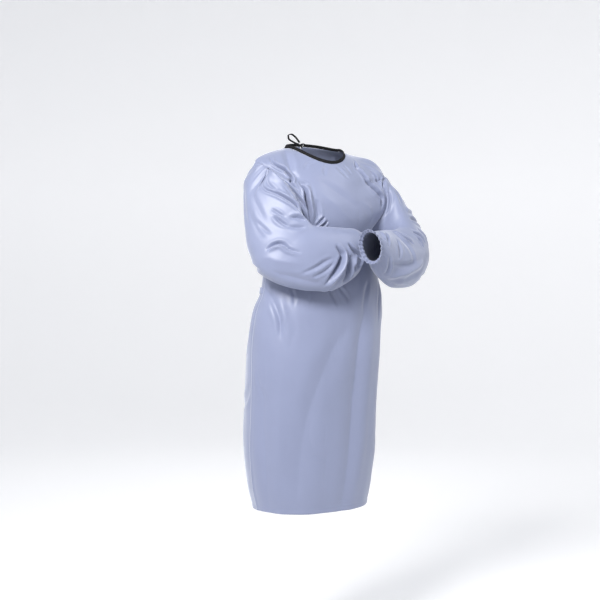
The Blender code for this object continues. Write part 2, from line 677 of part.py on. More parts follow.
def body_sample():
    """Points and outward directions of the body's finished surface, close enough together to rest on."""
    rows = np.linspace(0.0, SAMPLE_END, SAMPLE_ROWS)
    ends = np.ones(len(rows))
    surfaces = (
        (front_points, front_surface, -ends, ends),
        (back_points, back_surface, ends, -ends),
    )
    places = []
    directions = []
    for points_at, surface, start, stop in surfaces:
        points = surface(*panel(points_at, rows, start, stop, SAMPLE_COLUMNS))
        places.append(points.reshape(-1, 3))
        directions.append(normals_of(points, False).reshape(-1, 3))
    return np.concatenate(places), np.concatenate(directions)


def stand_off_armhole(points, body, body_normals):
    """A sleeve whose first row stands clear of the panels' armhole edges."""
    moved = points.copy()
    for j, point in enumerate(points[0]):
        heading = points[1, j] - point
        nearest = np.argmin(np.linalg.norm(body - point, axis=1))
        way = heading / np.linalg.norm(heading) + body_normals[nearest]
        moved[0, j] = point + way / np.linalg.norm(way) * ARMHOLE_GAP
    return moved


def build_sleeve(name, table, side, folds, elastic, rests_on, cloth, collection):
    """One sleeve, coarse as far as its gathers and twice as fine at the wrist."""
    points_at = sleeve_points(table, side)
    end = table[-1][0]
    finer = elastic - GATHER_REACH
    upper = sleeve_rows(points_at, 0.0, finer, SLEEVE_ROWS)
    lower = sleeve_rows(points_at, finer, end, CUFF_ROWS + 1)[1:]
    arm = sleeve_grid(table, side, folds, elastic, upper, SLEEVE_COLUMNS)
    wrist = sleeve_grid(table, side, folds, elastic, lower, 2 * SLEEVE_COLUMNS)
    arm = stand_off_armhole(arm, *rests_on[0])
    for surface, normals in rests_on:
        arm = kept_off(arm, surface, normals, TOUCHING)
        wrist = kept_off(wrist, surface, normals, TOUCHING)
    make_cloth(name, list(arm) + list(wrist), True, CLOTH, cloth, collection)


def sleeve_sample(table, side, folds, elastic):
    """Points and outward directions of a sleeve's finished surface, close enough together to rest on."""
    along = sleeve_rows(sleeve_points(table, side), 0.0, table[-1][0], SAMPLE_ROWS)
    points = sleeve_grid(table, side, folds, elastic, along, RING_POINTS)
    return points.reshape(-1, 3), normals_of(points, True).reshape(-1, 3)


def build_sleeves(cloth, collection):
    """Both sleeves. The left forearm lies over the right one, and both rest on the chest."""
    body = body_sample()
    right = (RIGHT_SLEEVE, -1, RIGHT_SLEEVE_FOLDS, RIGHT_ELASTIC)
    left = (LEFT_SLEEVE, 1, LEFT_SLEEVE_FOLDS, LEFT_ELASTIC)
    build_sleeve("sleeve_right", *right, [body], cloth, collection)
    build_sleeve("sleeve_left", *left, [body, sleeve_sample(*right)], cloth, collection)


def neck_line(down, count):
    """Points round the neck at a section near it, from the middle of the back round the left side."""
    past = np.array([down])
    left = centre_back(past, 1)[0]
    fine = LINE_STEPS
    back_left = np.linspace(left, 1.0, fine)
    front = np.linspace(1.0, -1.0, 2 * fine)
    back_right = np.linspace(-1.0, -left, fine)
    line = np.concatenate(
        [
            back_points(np.full(fine, down), back_left),
            front_points(np.full(2 * fine, down), front),
            back_points(np.full(fine, down), back_right),
        ]
    )
    far = lengths(line)
    wanted = np.linspace(0, far[-1], count)
    return np.stack([np.interp(wanted, far, line[:, axis]) for axis in range(3)], axis=1)


def build_binding(tape, collection):
    """The neck binding, a band that stands on the panels' neck edge."""
    edge = neck_line(0.0, BINDING_COLUMNS)
    below = neck_line(BELOW_NECK, BINDING_COLUMNS)
    way = edge - below
    way /= np.linalg.norm(way, axis=1, keepdims=True)
    way = (1 - BINDING_RISE) * way + BINDING_RISE * np.array([0.0, 0.0, 1.0])
    way /= np.linalg.norm(way, axis=1, keepdims=True)
    lower = edge + way * BINDING_GAP
    rows = [lower + way * BINDING_WIDTH * share for share in (1.0, 0.5, 0.0)]
    make_cloth("neck_binding", rows, False, BINDING_WALL, tape, collection)


def build_tape(name, path, broad, width, wall, material, collection):
    """A flat tape along a path. broad is the direction of its width at each point."""
    broad = np.broadcast_to(broad, path.shape)
    broad = broad / np.linalg.norm(broad, axis=1, keepdims=True)
    points = np.stack([path - broad * width / 2, path, path + broad * width / 2], axis=1)
    make_cloth(name, list(points), False, wall, material, collection)


def build_knot(name, centre, size, material, collection):
    """A small rounded knot."""
    bpy.ops.mesh.primitive_uv_sphere_add(segments=12, ring_count=8, radius=0.5, location=centre)
    knot = bpy.context.object
    knot.name = name
    knot.data.name = name
    for vertex in knot.data.vertices:
        vertex.co = [axis * full for axis, full in zip(vertex.co, size)]
    knot.data.shade_smooth()
    knot.data.materials.append(material)
    for owner in list(knot.users_collection):
        owner.objects.unlink(knot)
    collection.objects.link(knot)


def smooth_line(points, count):
    """count points along a smooth curve through a few."""
    points = np.array(points)
    return through(np.arange(len(points)), points, np.linspace(0, len(points) - 1, count))


def back_place(x, z):
    """The back's finished surface and its outward direction at given x and z."""
    rows = np.linspace(0.0, TIES_END, 2 * SAMPLE_ROWS)
    ends = np.full(len(rows), TIES_EDGE)
    points = back_surface(*panel(back_points, rows, ends, -ends, 2 * SAMPLE_COLUMNS))
    normals = normals_of(points, False).reshape(-1, 3)
    flat = points.reshape(-1, 3)
    found = [np.argmin((flat[:, 0] - a) ** 2 + (flat[:, 2] - b) ** 2) for a, b in zip(x, z)]
    near, normal = flat[found], normals[found]
    slope = (x - near[:, 0]) * normal[:, 0] + (z - near[:, 2]) * normal[:, 2]
    return np.stack([x, near[:, 1] - slope / normal[:, 1], z], axis=1), normal


def build_run(name, run, side, knot, broad, width, wall, material, collection):
    """A tape that lies along the back panels from a knot."""
    line = smooth_line(run, RUN_POINTS * len(run))
    place, normal = back_place(knot[0] + side * line[:, 0], knot[2] + line[:, 1])
    path = place + normal * line[:, 2:]
    build_tape(name, path, np.array(broad), width, wall, material, collection)


def build_neck_tie(tape, collection):
    """The neck tie's bow at the nape."""
    knot = np.array(NECK_KNOT)
    build_knot("neck_tie_knot", NECK_KNOT, NECK_KNOT_SIZE, tape, collection)
    for name, points, broad in (
        ("neck_tie_loop_right", NECK_LOOP_RIGHT, NECK_LOOP_RIGHT_BROAD),
        ("neck_tie_loop_left", NECK_LOOP_LEFT, NECK_LOOP_LEFT_BROAD),
    ):
        path = smooth_line(points, NECK_LOOP_POINTS) + knot
        build_tape(name, path, np.array(broad), TAPE_WIDTH, TAPE_WALL, tape, collection)
    for name, run in (("neck_tie_end_right", NECK_END_RIGHT), ("neck_tie_end_left", NECK_END_LEFT)):
        build_run(name, run, 1, knot, (1.0, 0.0, 0.0), TAPE_WIDTH, TAPE_WALL, tape, collection)


def build_straps(cloth, collection):
    """The waist straps, each made from the points of its back panel."""
    rows = np.array(WAIST_ROWS)
    ends = np.ones(2)
    middle = read(LEAN_NAMES, LEAN, "x", rows).mean()
    for name, start, stop in (
        ("waist_strap_left", ends, centre_back(rows, 1)),
        ("waist_strap_right", centre_back(rows, -1), -ends),
    ):
        points = back_surface(*panel(back_points, rows, start, stop, BACK_COLUMNS))
        points = points + normals_of(points, False) * STRAP_LIFT
        side = 1 if "left" in name else -1
        away = (points[..., 0] - middle) * side
        kept = np.where(away.min(axis=0) > STRAP_START + STRAP_LAST_STEP)[0]
        beside = kept[-1] if side > 0 else kept[0]
        next_in = beside + side
        near = points[:, next_in], points[:, beside]
        share = (STRAP_START - away[:, next_in]) / (away[:, beside] - away[:, next_in])
        end = near[0] + share[:, None] * (near[1] - near[0])
        strap = points[:, kept]
        strap = np.concatenate([strap, end[:, None]] if side > 0 else [end[:, None], strap], axis=1)
        make_cloth(name, list(strap), False, STRAP_WALL, cloth, collection)


def build_waist_tie(cloth, collection):
    """The waist tie: a strap from each side seam and a bow at the back."""
    build_straps(cloth, collection)
    middle = np.mean(WAIST_ROWS)
    centre = back_points(np.array([middle]), np.array([0.0]))[0]
    knot = centre + np.array([0.0, STRAP_LIFT + WAIST_KNOT_SIZE[1] / 2, 0.0])
    build_knot("waist_tie_knot", knot, WAIST_KNOT_SIZE, cloth, collection)
    for word, side in (("left", 1), ("right", -1)):
        broad = (-WAIST_LOOP_SLANT * side, 0.0, -1.0)
        loop = (WAIST_LOOP, side, knot, broad, WAIST_LOOP_WIDTH)
        end = (WAIST_END, side, knot, (1.0, 0.0, 0.0), STRAP_WIDTH)
        build_run("waist_tie_loop_" + word, *loop, STRAP_WALL, cloth, collection)
        build_run("waist_tie_end_" + word, *end, STRAP_WALL, cloth, collection)


def build():
    """The whole gown."""
    for old in list(bpy.data.objects):
        bpy.data.objects.remove(old, do_unlink=True)
    gown = bpy.data.collections.new("barrier_gown")
    bpy.context.scene.collection.children.link(gown)
    cloth = make_material("gown_cloth", CLOTH_COLOUR, CLOTH_ROUGHNESS)
    tape = make_material("neck_tape", BINDING_COLOUR, BINDING_ROUGHNESS)
    build_front(cloth, gown)
    build_backs(cloth, gown)
    build_sleeves(cloth, gown)
    build_binding(tape, gown)
    build_neck_tie(tape, gown)
    build_waist_tie(cloth, gown)


build()
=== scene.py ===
# %% [markdown]
# # A barrier gown in its worn shape
#
# A reusable barrier gown is a plain garment: one front, two backs that overlap, two long sleeves gathered on
# elastic, a narrow binding round the neck, and ties at the nape and the waist. Almost all of its looks come
# from how thin cloth hangs, so this lesson builds every piece as an open sheet of points, presses folds into
# it, and lets the Solidify modifier give it a wall.
#
# The imported CAD model is the frame. Its pieces say where everything is, and each finer piece below takes the
# place of one of them.

# %% Load the frame
import json
import math

import bpy
import numpy as np
from mathutils import Vector
from mathutils.kdtree import KDTree
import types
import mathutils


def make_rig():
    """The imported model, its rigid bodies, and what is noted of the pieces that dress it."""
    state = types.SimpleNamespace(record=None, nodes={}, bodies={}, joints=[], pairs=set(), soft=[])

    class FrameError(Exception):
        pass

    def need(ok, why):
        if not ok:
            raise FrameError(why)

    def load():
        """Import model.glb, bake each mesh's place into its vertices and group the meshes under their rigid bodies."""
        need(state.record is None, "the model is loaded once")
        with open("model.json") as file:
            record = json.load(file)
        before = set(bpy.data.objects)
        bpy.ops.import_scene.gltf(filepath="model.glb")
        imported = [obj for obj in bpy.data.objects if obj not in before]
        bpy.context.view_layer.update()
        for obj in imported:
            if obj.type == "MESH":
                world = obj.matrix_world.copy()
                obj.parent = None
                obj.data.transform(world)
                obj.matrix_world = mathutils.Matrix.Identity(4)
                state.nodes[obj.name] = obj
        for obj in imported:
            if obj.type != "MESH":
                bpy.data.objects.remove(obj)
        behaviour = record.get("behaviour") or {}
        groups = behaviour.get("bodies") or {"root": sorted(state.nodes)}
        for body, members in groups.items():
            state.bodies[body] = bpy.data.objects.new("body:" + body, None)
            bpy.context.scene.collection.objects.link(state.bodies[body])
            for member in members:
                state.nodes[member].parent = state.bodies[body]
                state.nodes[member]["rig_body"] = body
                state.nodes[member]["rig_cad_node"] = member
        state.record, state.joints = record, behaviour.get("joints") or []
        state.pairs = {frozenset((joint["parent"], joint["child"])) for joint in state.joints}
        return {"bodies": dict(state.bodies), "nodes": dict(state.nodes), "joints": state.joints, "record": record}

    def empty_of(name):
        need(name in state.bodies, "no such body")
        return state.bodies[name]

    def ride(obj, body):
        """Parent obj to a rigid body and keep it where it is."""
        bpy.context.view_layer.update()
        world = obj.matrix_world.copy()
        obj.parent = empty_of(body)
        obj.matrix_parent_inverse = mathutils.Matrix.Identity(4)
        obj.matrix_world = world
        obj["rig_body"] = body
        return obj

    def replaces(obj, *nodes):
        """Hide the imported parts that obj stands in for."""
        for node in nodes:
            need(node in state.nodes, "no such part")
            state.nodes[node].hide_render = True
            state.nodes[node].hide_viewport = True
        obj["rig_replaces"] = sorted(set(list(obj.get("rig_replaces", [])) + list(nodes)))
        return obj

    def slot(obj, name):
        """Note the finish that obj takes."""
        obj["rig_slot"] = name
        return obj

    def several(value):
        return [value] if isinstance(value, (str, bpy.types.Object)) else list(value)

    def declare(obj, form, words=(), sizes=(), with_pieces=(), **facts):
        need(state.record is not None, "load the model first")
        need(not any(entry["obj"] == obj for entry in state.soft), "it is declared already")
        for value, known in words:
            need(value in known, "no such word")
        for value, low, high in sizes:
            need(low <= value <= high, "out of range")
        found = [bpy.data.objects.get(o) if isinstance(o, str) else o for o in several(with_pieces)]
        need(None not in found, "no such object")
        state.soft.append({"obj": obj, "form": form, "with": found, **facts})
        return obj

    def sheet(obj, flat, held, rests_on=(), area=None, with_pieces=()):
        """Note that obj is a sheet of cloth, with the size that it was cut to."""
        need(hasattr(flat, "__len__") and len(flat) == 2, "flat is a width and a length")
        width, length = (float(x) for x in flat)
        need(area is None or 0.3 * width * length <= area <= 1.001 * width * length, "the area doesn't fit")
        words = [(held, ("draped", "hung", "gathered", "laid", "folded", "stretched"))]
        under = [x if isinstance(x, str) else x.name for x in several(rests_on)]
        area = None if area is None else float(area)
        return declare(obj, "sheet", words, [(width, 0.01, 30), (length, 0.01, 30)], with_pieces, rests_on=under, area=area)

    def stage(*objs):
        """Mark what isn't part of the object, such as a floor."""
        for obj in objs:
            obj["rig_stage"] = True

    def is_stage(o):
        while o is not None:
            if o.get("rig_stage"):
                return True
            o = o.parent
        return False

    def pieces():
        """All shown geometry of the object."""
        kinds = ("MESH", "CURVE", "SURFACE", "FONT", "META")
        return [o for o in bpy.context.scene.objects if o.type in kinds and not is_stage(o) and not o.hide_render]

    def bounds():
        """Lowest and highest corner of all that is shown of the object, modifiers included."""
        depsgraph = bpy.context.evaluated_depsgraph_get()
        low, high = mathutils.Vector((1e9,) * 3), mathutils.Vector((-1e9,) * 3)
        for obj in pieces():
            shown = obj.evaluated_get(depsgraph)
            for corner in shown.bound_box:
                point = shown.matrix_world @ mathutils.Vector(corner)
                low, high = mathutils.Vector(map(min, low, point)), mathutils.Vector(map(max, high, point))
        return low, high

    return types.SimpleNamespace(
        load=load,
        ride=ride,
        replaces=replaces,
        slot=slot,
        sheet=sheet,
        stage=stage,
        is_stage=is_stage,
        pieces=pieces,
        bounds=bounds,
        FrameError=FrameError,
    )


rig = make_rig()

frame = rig.load()
CAD_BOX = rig.bounds()
print("CAD nodes:", len(frame["nodes"]), "bodies:", sorted(frame["bodies"]))
print("CAD box:", [round(v, 3) for corner in CAD_BOX for v in corner])

# %% [markdown]
# ## The camera
#
# The photograph was taken from the right front, at chest height, with a long lens. The gown faces -Y, so
# the camera looks along a line that is turned 32 degrees from +Y. Height and distance follow from how wide
# the garment's parts look against each other. Perspective is mild at 3.6 m, which keeps the folds honest.

# %% Place the camera
VIEW_TURN = math.radians(-32.0)
VIEW_DISTANCE = 3.6
VIEW_HEIGHT = -0.31  # above the neck opening's middle
VIEW_WIDTH = 1.698  # what the square picture takes in at that distance
AIM = (-0.036, 0.0225, -0.423)


def make_camera():
    """The camera at the photograph's angle."""
    data = bpy.data.cameras.new("photo_camera")
    camera = bpy.data.objects.new("photo_camera", data)
    bpy.context.scene.collection.objects.link(camera)
    place = np.array(
        [
            math.sin(VIEW_TURN) * VIEW_DISTANCE,
            -math.cos(VIEW_TURN) * VIEW_DISTANCE,
            VIEW_HEIGHT,
        ]
    )
    camera.location = place
    data.sensor_width = 36.0
    data.lens = data.sensor_width * VIEW_DISTANCE / VIEW_WIDTH
    heading = Vector(AIM) - Vector(place)
    camera.rotation_mode = "QUATERNION"
    camera.rotation_quaternion = heading.to_track_quat("-Z", "Y")
    bpy.context.scene.camera = camera
    return camera


camera = make_camera()
print("lens:", round(camera.data.lens, 1), "mm")

# %% [markdown]
# ## Light and floor
#
# The photograph has a soft studio light from the upper left and a white background. One large area light
# makes the broad highlight on the upper sleeve, a weaker one keeps the far side readable, and a pale floor
# that curves up into a wall stands in for the studio. The floor is marked as stage, so it isn't part of the
# gown.

# %% Make the lights and the floor
FLOOR_Z = -1.42  # 0.4 m below the hem
LIGHT_NAMES = ("name", "place", "aim", "size", "spread", "power", "colour")
LIGHTS = (
    ("key", (-2.4, -1.6, 1.6), (0.0, 0.0, -0.15), 1.1, 90.0, 43.0, (1.0, 0.99, 0.98)),
    ("fill", (1.7, -2.3, 2.0), (0.12, -0.15, -0.2), 1.0, 70.0, 5.6, (0.97, 0.98, 1.0)),
    ("back", (1.4, 2.8, 1.5), (0.0, 0.0, -0.45), 2.0, 180.0, 22.0, (1.0, 1.0, 1.0)),
)


def make_light(row):
    """A large square lamp that points at its aim."""
    entry = dict(zip(LIGHT_NAMES, row))
    data = bpy.data.lights.new(entry["name"], "AREA")
    data.shape = "SQUARE"
    data.size = entry["size"]
    data.spread = math.radians(entry["spread"])
    data.energy = entry["power"]
    data.color = entry["colour"]
    lamp = bpy.data.objects.new(entry["name"], data)
    lamp.location = entry["place"]
    heading = Vector(entry["aim"]) - Vector(entry["place"])
    lamp.rotation_mode = "QUATERNION"
    lamp.rotation_quaternion = heading.to_track_quat("-Z", "Y")
    bpy.context.scene.collection.objects.link(lamp)


def make_floor():
    """A round floor that curves up into a wall, drawn as a profile and turned with Screw."""
    flat, rise, high, steps = 4.2, 1.6, 5.0, 12
    profile = [(0.02, FLOOR_Z), (flat, FLOOR_Z)]
    for k in range(1, steps + 1):
        turn = k / steps * math.pi / 2
        profile.append((flat + rise * math.sin(turn), FLOOR_Z + rise * (1 - math.cos(turn))))
    profile.append((flat + rise, FLOOR_Z + high))
    mesh = bpy.data.meshes.new("studio_floor")
    edges = [(k, k + 1) for k in range(len(profile) - 1)]
    mesh.from_pydata([(r, 0.0, z) for r, z in profile], edges, [])
    floor = bpy.data.objects.new("studio_floor", mesh)
    bpy.context.scene.collection.objects.link(floor)
    turned = floor.modifiers.new("turned", "SCREW")
    turned.steps = 64
    turned.render_steps = 64
    turned.merge_threshold = 0.0001
    material = bpy.data.materials.new("studio_floor")
    material.use_nodes = True
    shader = material.node_tree.nodes["Principled BSDF"]
    shader.inputs["Base Color"].default_value = (0.86, 0.86, 0.87, 1.0)
    shader.inputs["Roughness"].default_value = 0.9
    shader.inputs["Emission Color"].default_value = (1.0, 1.0, 1.0, 1.0)
    shader.inputs["Emission Strength"].default_value = 0.26
    mesh.materials.append(material)
    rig.stage(floor)


def make_sky(strength):
    """Even white light from above."""
    world = bpy.data.worlds.new("studio")
    world.use_nodes = True
    background = world.node_tree.nodes["Background"]
    background.inputs["Color"].default_value = (0.82, 0.88, 1.0, 1.0)
    background.inputs["Strength"].default_value = strength
    bpy.context.scene.world = world


for light in LIGHTS:
    make_light(light)
make_floor()
make_sky(0.25)
bpy.context.scene.view_settings.view_transform = "Standard"
print("lights:", len(LIGHTS), "floor at", FLOOR_Z)

# %% [markdown]
# ## Reading a table of sections
#
# A worn gown has no straight line in it, but a maker still thinks of it as a few sections: neck, shoulder,
# chest, underarm, waist, hip, hem. Short tables with one row for each section are easier to read and to
# correct than thousands of points. A monotone cubic joins their rows, because it never overshoots a row the
# way a plain spline does.

# %% Read tables smoothly
def column(names, rows, name):
    """One column of a table as an array."""
    return np.array([row[names.index(name)] for row in rows], float)


def through(x, y, at):
    """A curve through the values y at places x, read at other places, that never overshoots a value.

    y may have more axes after its first, and each is read on its own (monotone cubic).
    """
    wide = (-1,) + (1,) * (y.ndim - 1)
    step = np.diff(x).reshape(wide)
    slope = np.diff(y, axis=0) / step
    before, after = slope[:-1], slope[1:]
    same_way = before * after > 0
    mean = 2 * before * after / np.where(same_way, before + after, 1.0)
    tangent = np.concatenate([slope[:1], np.where(same_way, mean, 0.0), slope[-1:]])
    i = np.clip(np.searchsorted(x, at, side="right") - 1, 0, len(x) - 2)
    t = ((at - x[i]) / np.diff(x)[i]).reshape(np.shape(at) + (1,) * (y.ndim - 1))
    reach = np.diff(x)[i].reshape(t.shape)
    return (
        y[i] * (1 + 2 * t) * (1 - t) ** 2
        + tangent[i] * reach * t * (1 - t) ** 2
        + y[i + 1] * t * t * (3 - 2 * t)
        + tangent[i + 1] * reach * t * t * (t - 1)
    )


def read(names, rows, name, at):
    """A column of a table read at any place down it."""
    return through(column(names, rows, names[0]), column(names, rows, name), np.asarray(at, float))


def lengths(points):
    """How far each point of a line is from the line's start, along it."""
    steps = np.linalg.norm(np.diff(points, axis=0), axis=-1)
    return np.concatenate([[0.0], np.cumsum(steps)])


def even(values, points, count):
    """count of the values that go with a line's points, evenly spaced along the line."""
    far = lengths(points)
    return np.interp(np.linspace(0, far[-1], count), far, values)


def ease(t):
    """0 to 1 with a soft start and end."""
    t = np.clip(t, 0.0, 1.0)
    return t * t * (3 - 2 * t)


print("a quarter of the way from 0 to 1, eased:", round(float(ease(0.25)), 3))

# %% [markdown]
# ## The body of the gown
#
# down counts the sections from neck to hem, and across runs round the body from one side seam over the middle
# to the other. Both side edges and the middle line are given for each section, and a rounded square joins
# them. The tables are those of the CAD model, so the finer cloth lies exactly on its form.

# %% Sections of the front and the back
FRONT_NAMES = ("down", "edge_x", "edge_y", "edge_z", "mid_y", "mid_z", "square", "open")
FRONT_SECTIONS = (
    (0.0, 0.086, 0.012, 0.002, -0.088, -0.045, 2.00, 0.00),
    (0.5, 0.136, 0.012, -0.010, -0.099, -0.066, 2.00, 0.10),
    (1.0, 0.197, 0.000, -0.040, -0.112, -0.096, 2.10, 0.50),
    (1.5, 0.181, -0.058, -0.068, -0.122, -0.128, 2.20, 1.00),
    (2.0, 0.155, -0.089, -0.105, -0.130, -0.160, 2.25, 1.00),
    (2.5, 0.141, -0.099, -0.155, -0.133, -0.196, 2.25, 1.00),
    (3.0, 0.142, -0.077, -0.208, -0.129, -0.232, 2.25, 0.80),
    (3.5, 0.157, -0.022, -0.240, -0.121, -0.264, 2.20, 0.30),
    (4.0, 0.166, -0.008, -0.300, -0.117, -0.304, 2.15, 0.00),
    (5.0, 0.186, -0.008, -0.395, -0.124, -0.395, 2.15, 0.00),
    (6.0, 0.200, -0.004, -0.475, -0.135, -0.475, 2.15, 0.00),
    (7.0, 0.202, 0.002, -0.560, -0.137, -0.560, 2.20, 0.00),
    (8.0, 0.200, 0.010, -0.700, -0.122, -0.700, 2.20, 0.00),
    (9.0, 0.199, 0.020, -0.820, -0.112, -0.820, 2.25, 0.00),
    (10.0, 0.188, 0.028, -0.940, -0.100, -0.942, 2.25, 0.00),
    (10.6, 0.172, 0.030, -1.008, -0.088, -1.012, 2.30, 0.00),
)
BACK_NAMES = FRONT_NAMES + ("past",)
BACK_SECTIONS = (
    (0.0, 0.086, 0.012, 0.002, 0.074, 0.014, 2.00, 0.00, -0.005),
    (0.5, 0.136, 0.012, -0.010, 0.091, -0.010, 2.00, 0.10, 0.014),
    (1.0, 0.197, 0.000, -0.040, 0.104, -0.042, 2.10, 0.50, 0.025),
    (1.5, 0.203, 0.030, -0.076, 0.110, -0.078, 2.20, 1.00, 0.032),
    (2.0, 0.196, 0.048, -0.115, 0.114, -0.115, 2.25, 1.00, 0.040),
    (2.5, 0.183, 0.046, -0.160, 0.114, -0.160, 2.25, 1.00, 0.046),
    (3.0, 0.169, 0.020, -0.210, 0.110, -0.208, 2.25, 0.80, 0.052),
    (3.5, 0.157, -0.022, -0.240, 0.104, -0.246, 2.20, 0.30, 0.056),
    (4.0, 0.166, -0.008, -0.300, 0.092, -0.302, 2.15, 0.00, 0.062),
    (5.0, 0.186, -0.008, -0.395, 0.082, -0.395, 2.15, 0.00, 0.070),
    (6.0, 0.200, -0.004, -0.475, 0.104, -0.475, 2.15, 0.00, 0.078),
    (7.0, 0.202, 0.002, -0.560, 0.130, -0.560, 2.20, 0.00, 0.084),
    (8.0, 0.200, 0.010, -0.700, 0.150, -0.700, 2.20, 0.00, 0.092),
    (9.0, 0.199, 0.020, -0.820, 0.156, -0.820, 2.25, 0.00, 0.098),
    (10.0, 0.188, 0.028, -0.940, 0.150, -0.940, 2.25, 0.00, 0.100),
    (10.6, 0.172, 0.030, -1.008, 0.134, -1.008, 2.30, 0.00, 0.100),
)
LEAN_NAMES = ("down", "x")
LEAN = (
    (0.0, 0.000),
    (3.5, 0.000),
    (4.0, 0.006),
    (4.6, 0.013),
    (5.0, 0.014),
    (5.6, 0.006),
    (7.0, -0.002),
    (8.5, -0.002),
    (10.6, 0.000),
)
PULL_NAMES = ("x", "y", "z", "reach", "move_x", "move_y", "move_z")
PULLS = (
    (0.197, 0.000, -0.060, 0.080, 0.006, -0.034, -0.034),
    (0.168, 0.000, -0.030, 0.042, 0.004, -0.004, 0.022),
    (-0.197, 0.000, -0.060, 0.080, 0.004, -0.004, 0.000),
    (0.146, -0.098, -0.150, 0.060, 0.040, 0.010, 0.000),
    (-0.141, -0.099, -0.160, 0.050, 0.020, -0.006, 0.000),
)
SHOULDER_TIP = 1.0
UNDERARM = 3.5
WRAPPED_LIFT = 1.7
OPEN_BOW = 2.0
LINE_STEPS = 200
print("sections:", len(FRONT_SECTIONS), "front,", len(BACK_SECTIONS), "back")

# %% Points of the body's surface
def drawn_in(points):
    """The cloth near each shoulder, moved as the folded sleeves draw it."""
    moved = points.copy()
    for row in PULLS:
        entry = dict(zip(PULL_NAMES, row))
        centre = np.array([entry[axis] for axis in "xyz"])
        move = np.array([entry["move_" + axis] for axis in "xyz"])
        away = np.linalg.norm(points - centre, axis=-1)
        moved += np.exp(-((away / entry["reach"]) ** 2))[..., None] * move
    return moved


def edge_of(names, rows, axis, down):
    """One axis of a panel's side edge. Along a seam it is the front's edge for both panels."""
    own = read(names, rows, "edge_" + axis, down)
    shared = read(FRONT_NAMES, FRONT_SECTIONS, "edge_" + axis, down)
    return np.where((down <= SHOULDER_TIP) | (down >= UNDERARM), shared, own)


def section_points(names, rows, down, across):
    """Points of the body's surface. across runs from -1, the right edge, over 0, the middle, to 1."""
    turn = np.asarray(across) * math.pi / 2
    wrapped = 2 / read(names, rows, "square", down)
    opened = read(names, rows, "open", down)
    sine = np.sign(turn) * np.abs(np.sin(turn)) ** (wrapped + (1 - wrapped) * opened)
    cosine = np.abs(np.cos(turn)) ** (wrapped + (OPEN_BOW - wrapped) * opened)
    lift = np.abs(np.cos(turn)) ** (WRAPPED_LIFT + (OPEN_BOW - WRAPPED_LIFT) * opened)
    edge = {axis: edge_of(names, rows, axis, down) for axis in "xyz"}
    x = read(LEAN_NAMES, LEAN, "x", down) + edge["x"] * sine
    y = edge["y"] + (read(names, rows, "mid_y", down) - edge["y"]) * cosine
    z = edge["z"] + (read(names, rows, "mid_z", down) - edge["z"]) * lift
    return drawn_in(np.stack([x, y, z], axis=-1))


def front_points(down, across):
    """Points of the front's surface."""
    return section_points(FRONT_NAMES, FRONT_SECTIONS, down, across)


def back_points(down, across):
    """Points of the back's surface."""
    return section_points(BACK_NAMES, BACK_SECTIONS, down, across)


middle = front_points(np.linspace(0, 10.6, 50), np.zeros(50))
print("down the centre front:", round(float(lengths(middle)[-1]), 3), "m")

# %% Evenly spaced places
def across_of(points_at, down, start, stop, count):
    """count places from start to stop across one section, evenly spaced along the cloth."""
    fine = np.linspace(start, stop, LINE_STEPS)
    return even(fine, points_at(np.full(LINE_STEPS, down), fine), count)


def panel(points_at, rows, start, stop, count):
    """A panel's down and across grids. start and stop give each row's first and last place across."""
    across = np.stack([across_of(points_at, d, a, b, count) for d, a, b in zip(rows, start, stop)])
    down = np.repeat(rows[:, None], count, axis=1)
    return down, across


def centre_back(rows, side):
    """How far over the middle a back panel's free edge lies at each section, as places across."""
    past = read(BACK_NAMES, BACK_SECTIONS, "past", rows)
    width = read(BACK_NAMES, BACK_SECTIONS, "edge_x", rows)
    wrapped = 2 / read(BACK_NAMES, BACK_SECTIONS, "square", rows)
    power = wrapped + (1 - wrapped) * read(BACK_NAMES, BACK_SECTIONS, "open", rows)
    share = np.sign(past) * (np.abs(past) / width) ** (1 / power)
    return -side * np.arcsin(share) / (math.pi / 2)


def rows_between(stretches):
    """Sections that have a row of points, evenly spaced along each stretch of the centre front."""
    rows = []
    for start, stop, count in stretches:
        fine = np.linspace(start, stop, LINE_STEPS)
        rows.extend(even(fine, front_points(fine, np.full(LINE_STEPS, 0.6)), count + 1)[:-1])
    rows.append(stretches[-1][1])
    return np.array(rows)


# Stretches of the body: first section, last section, rows of faces. The chest has the finest folds, and the
# hem is turned up, so both are divided more closely.
BODY_STRETCHES = ((0.0, 3.5, 128), (3.5, 5.0, 34), (5.0, 10.3, 74), (10.3, 10.6, 16))
body_rows = rows_between(BODY_STRETCHES)
print("rows of points down the body:", len(body_rows))

# %% [markdown]
# ## The sleeves
#
# A sleeve of the worn gown bends sharply, so it can't be a straight tube that is bent afterwards: the cloth
# bunches in the crook and stretches over the elbow. Each section is a closed curve through four points, on
# the crook's side, away from the body, at the elbow's tip, and against the body. The first ring is the
# armhole's own edge, which keeps the seam closed.

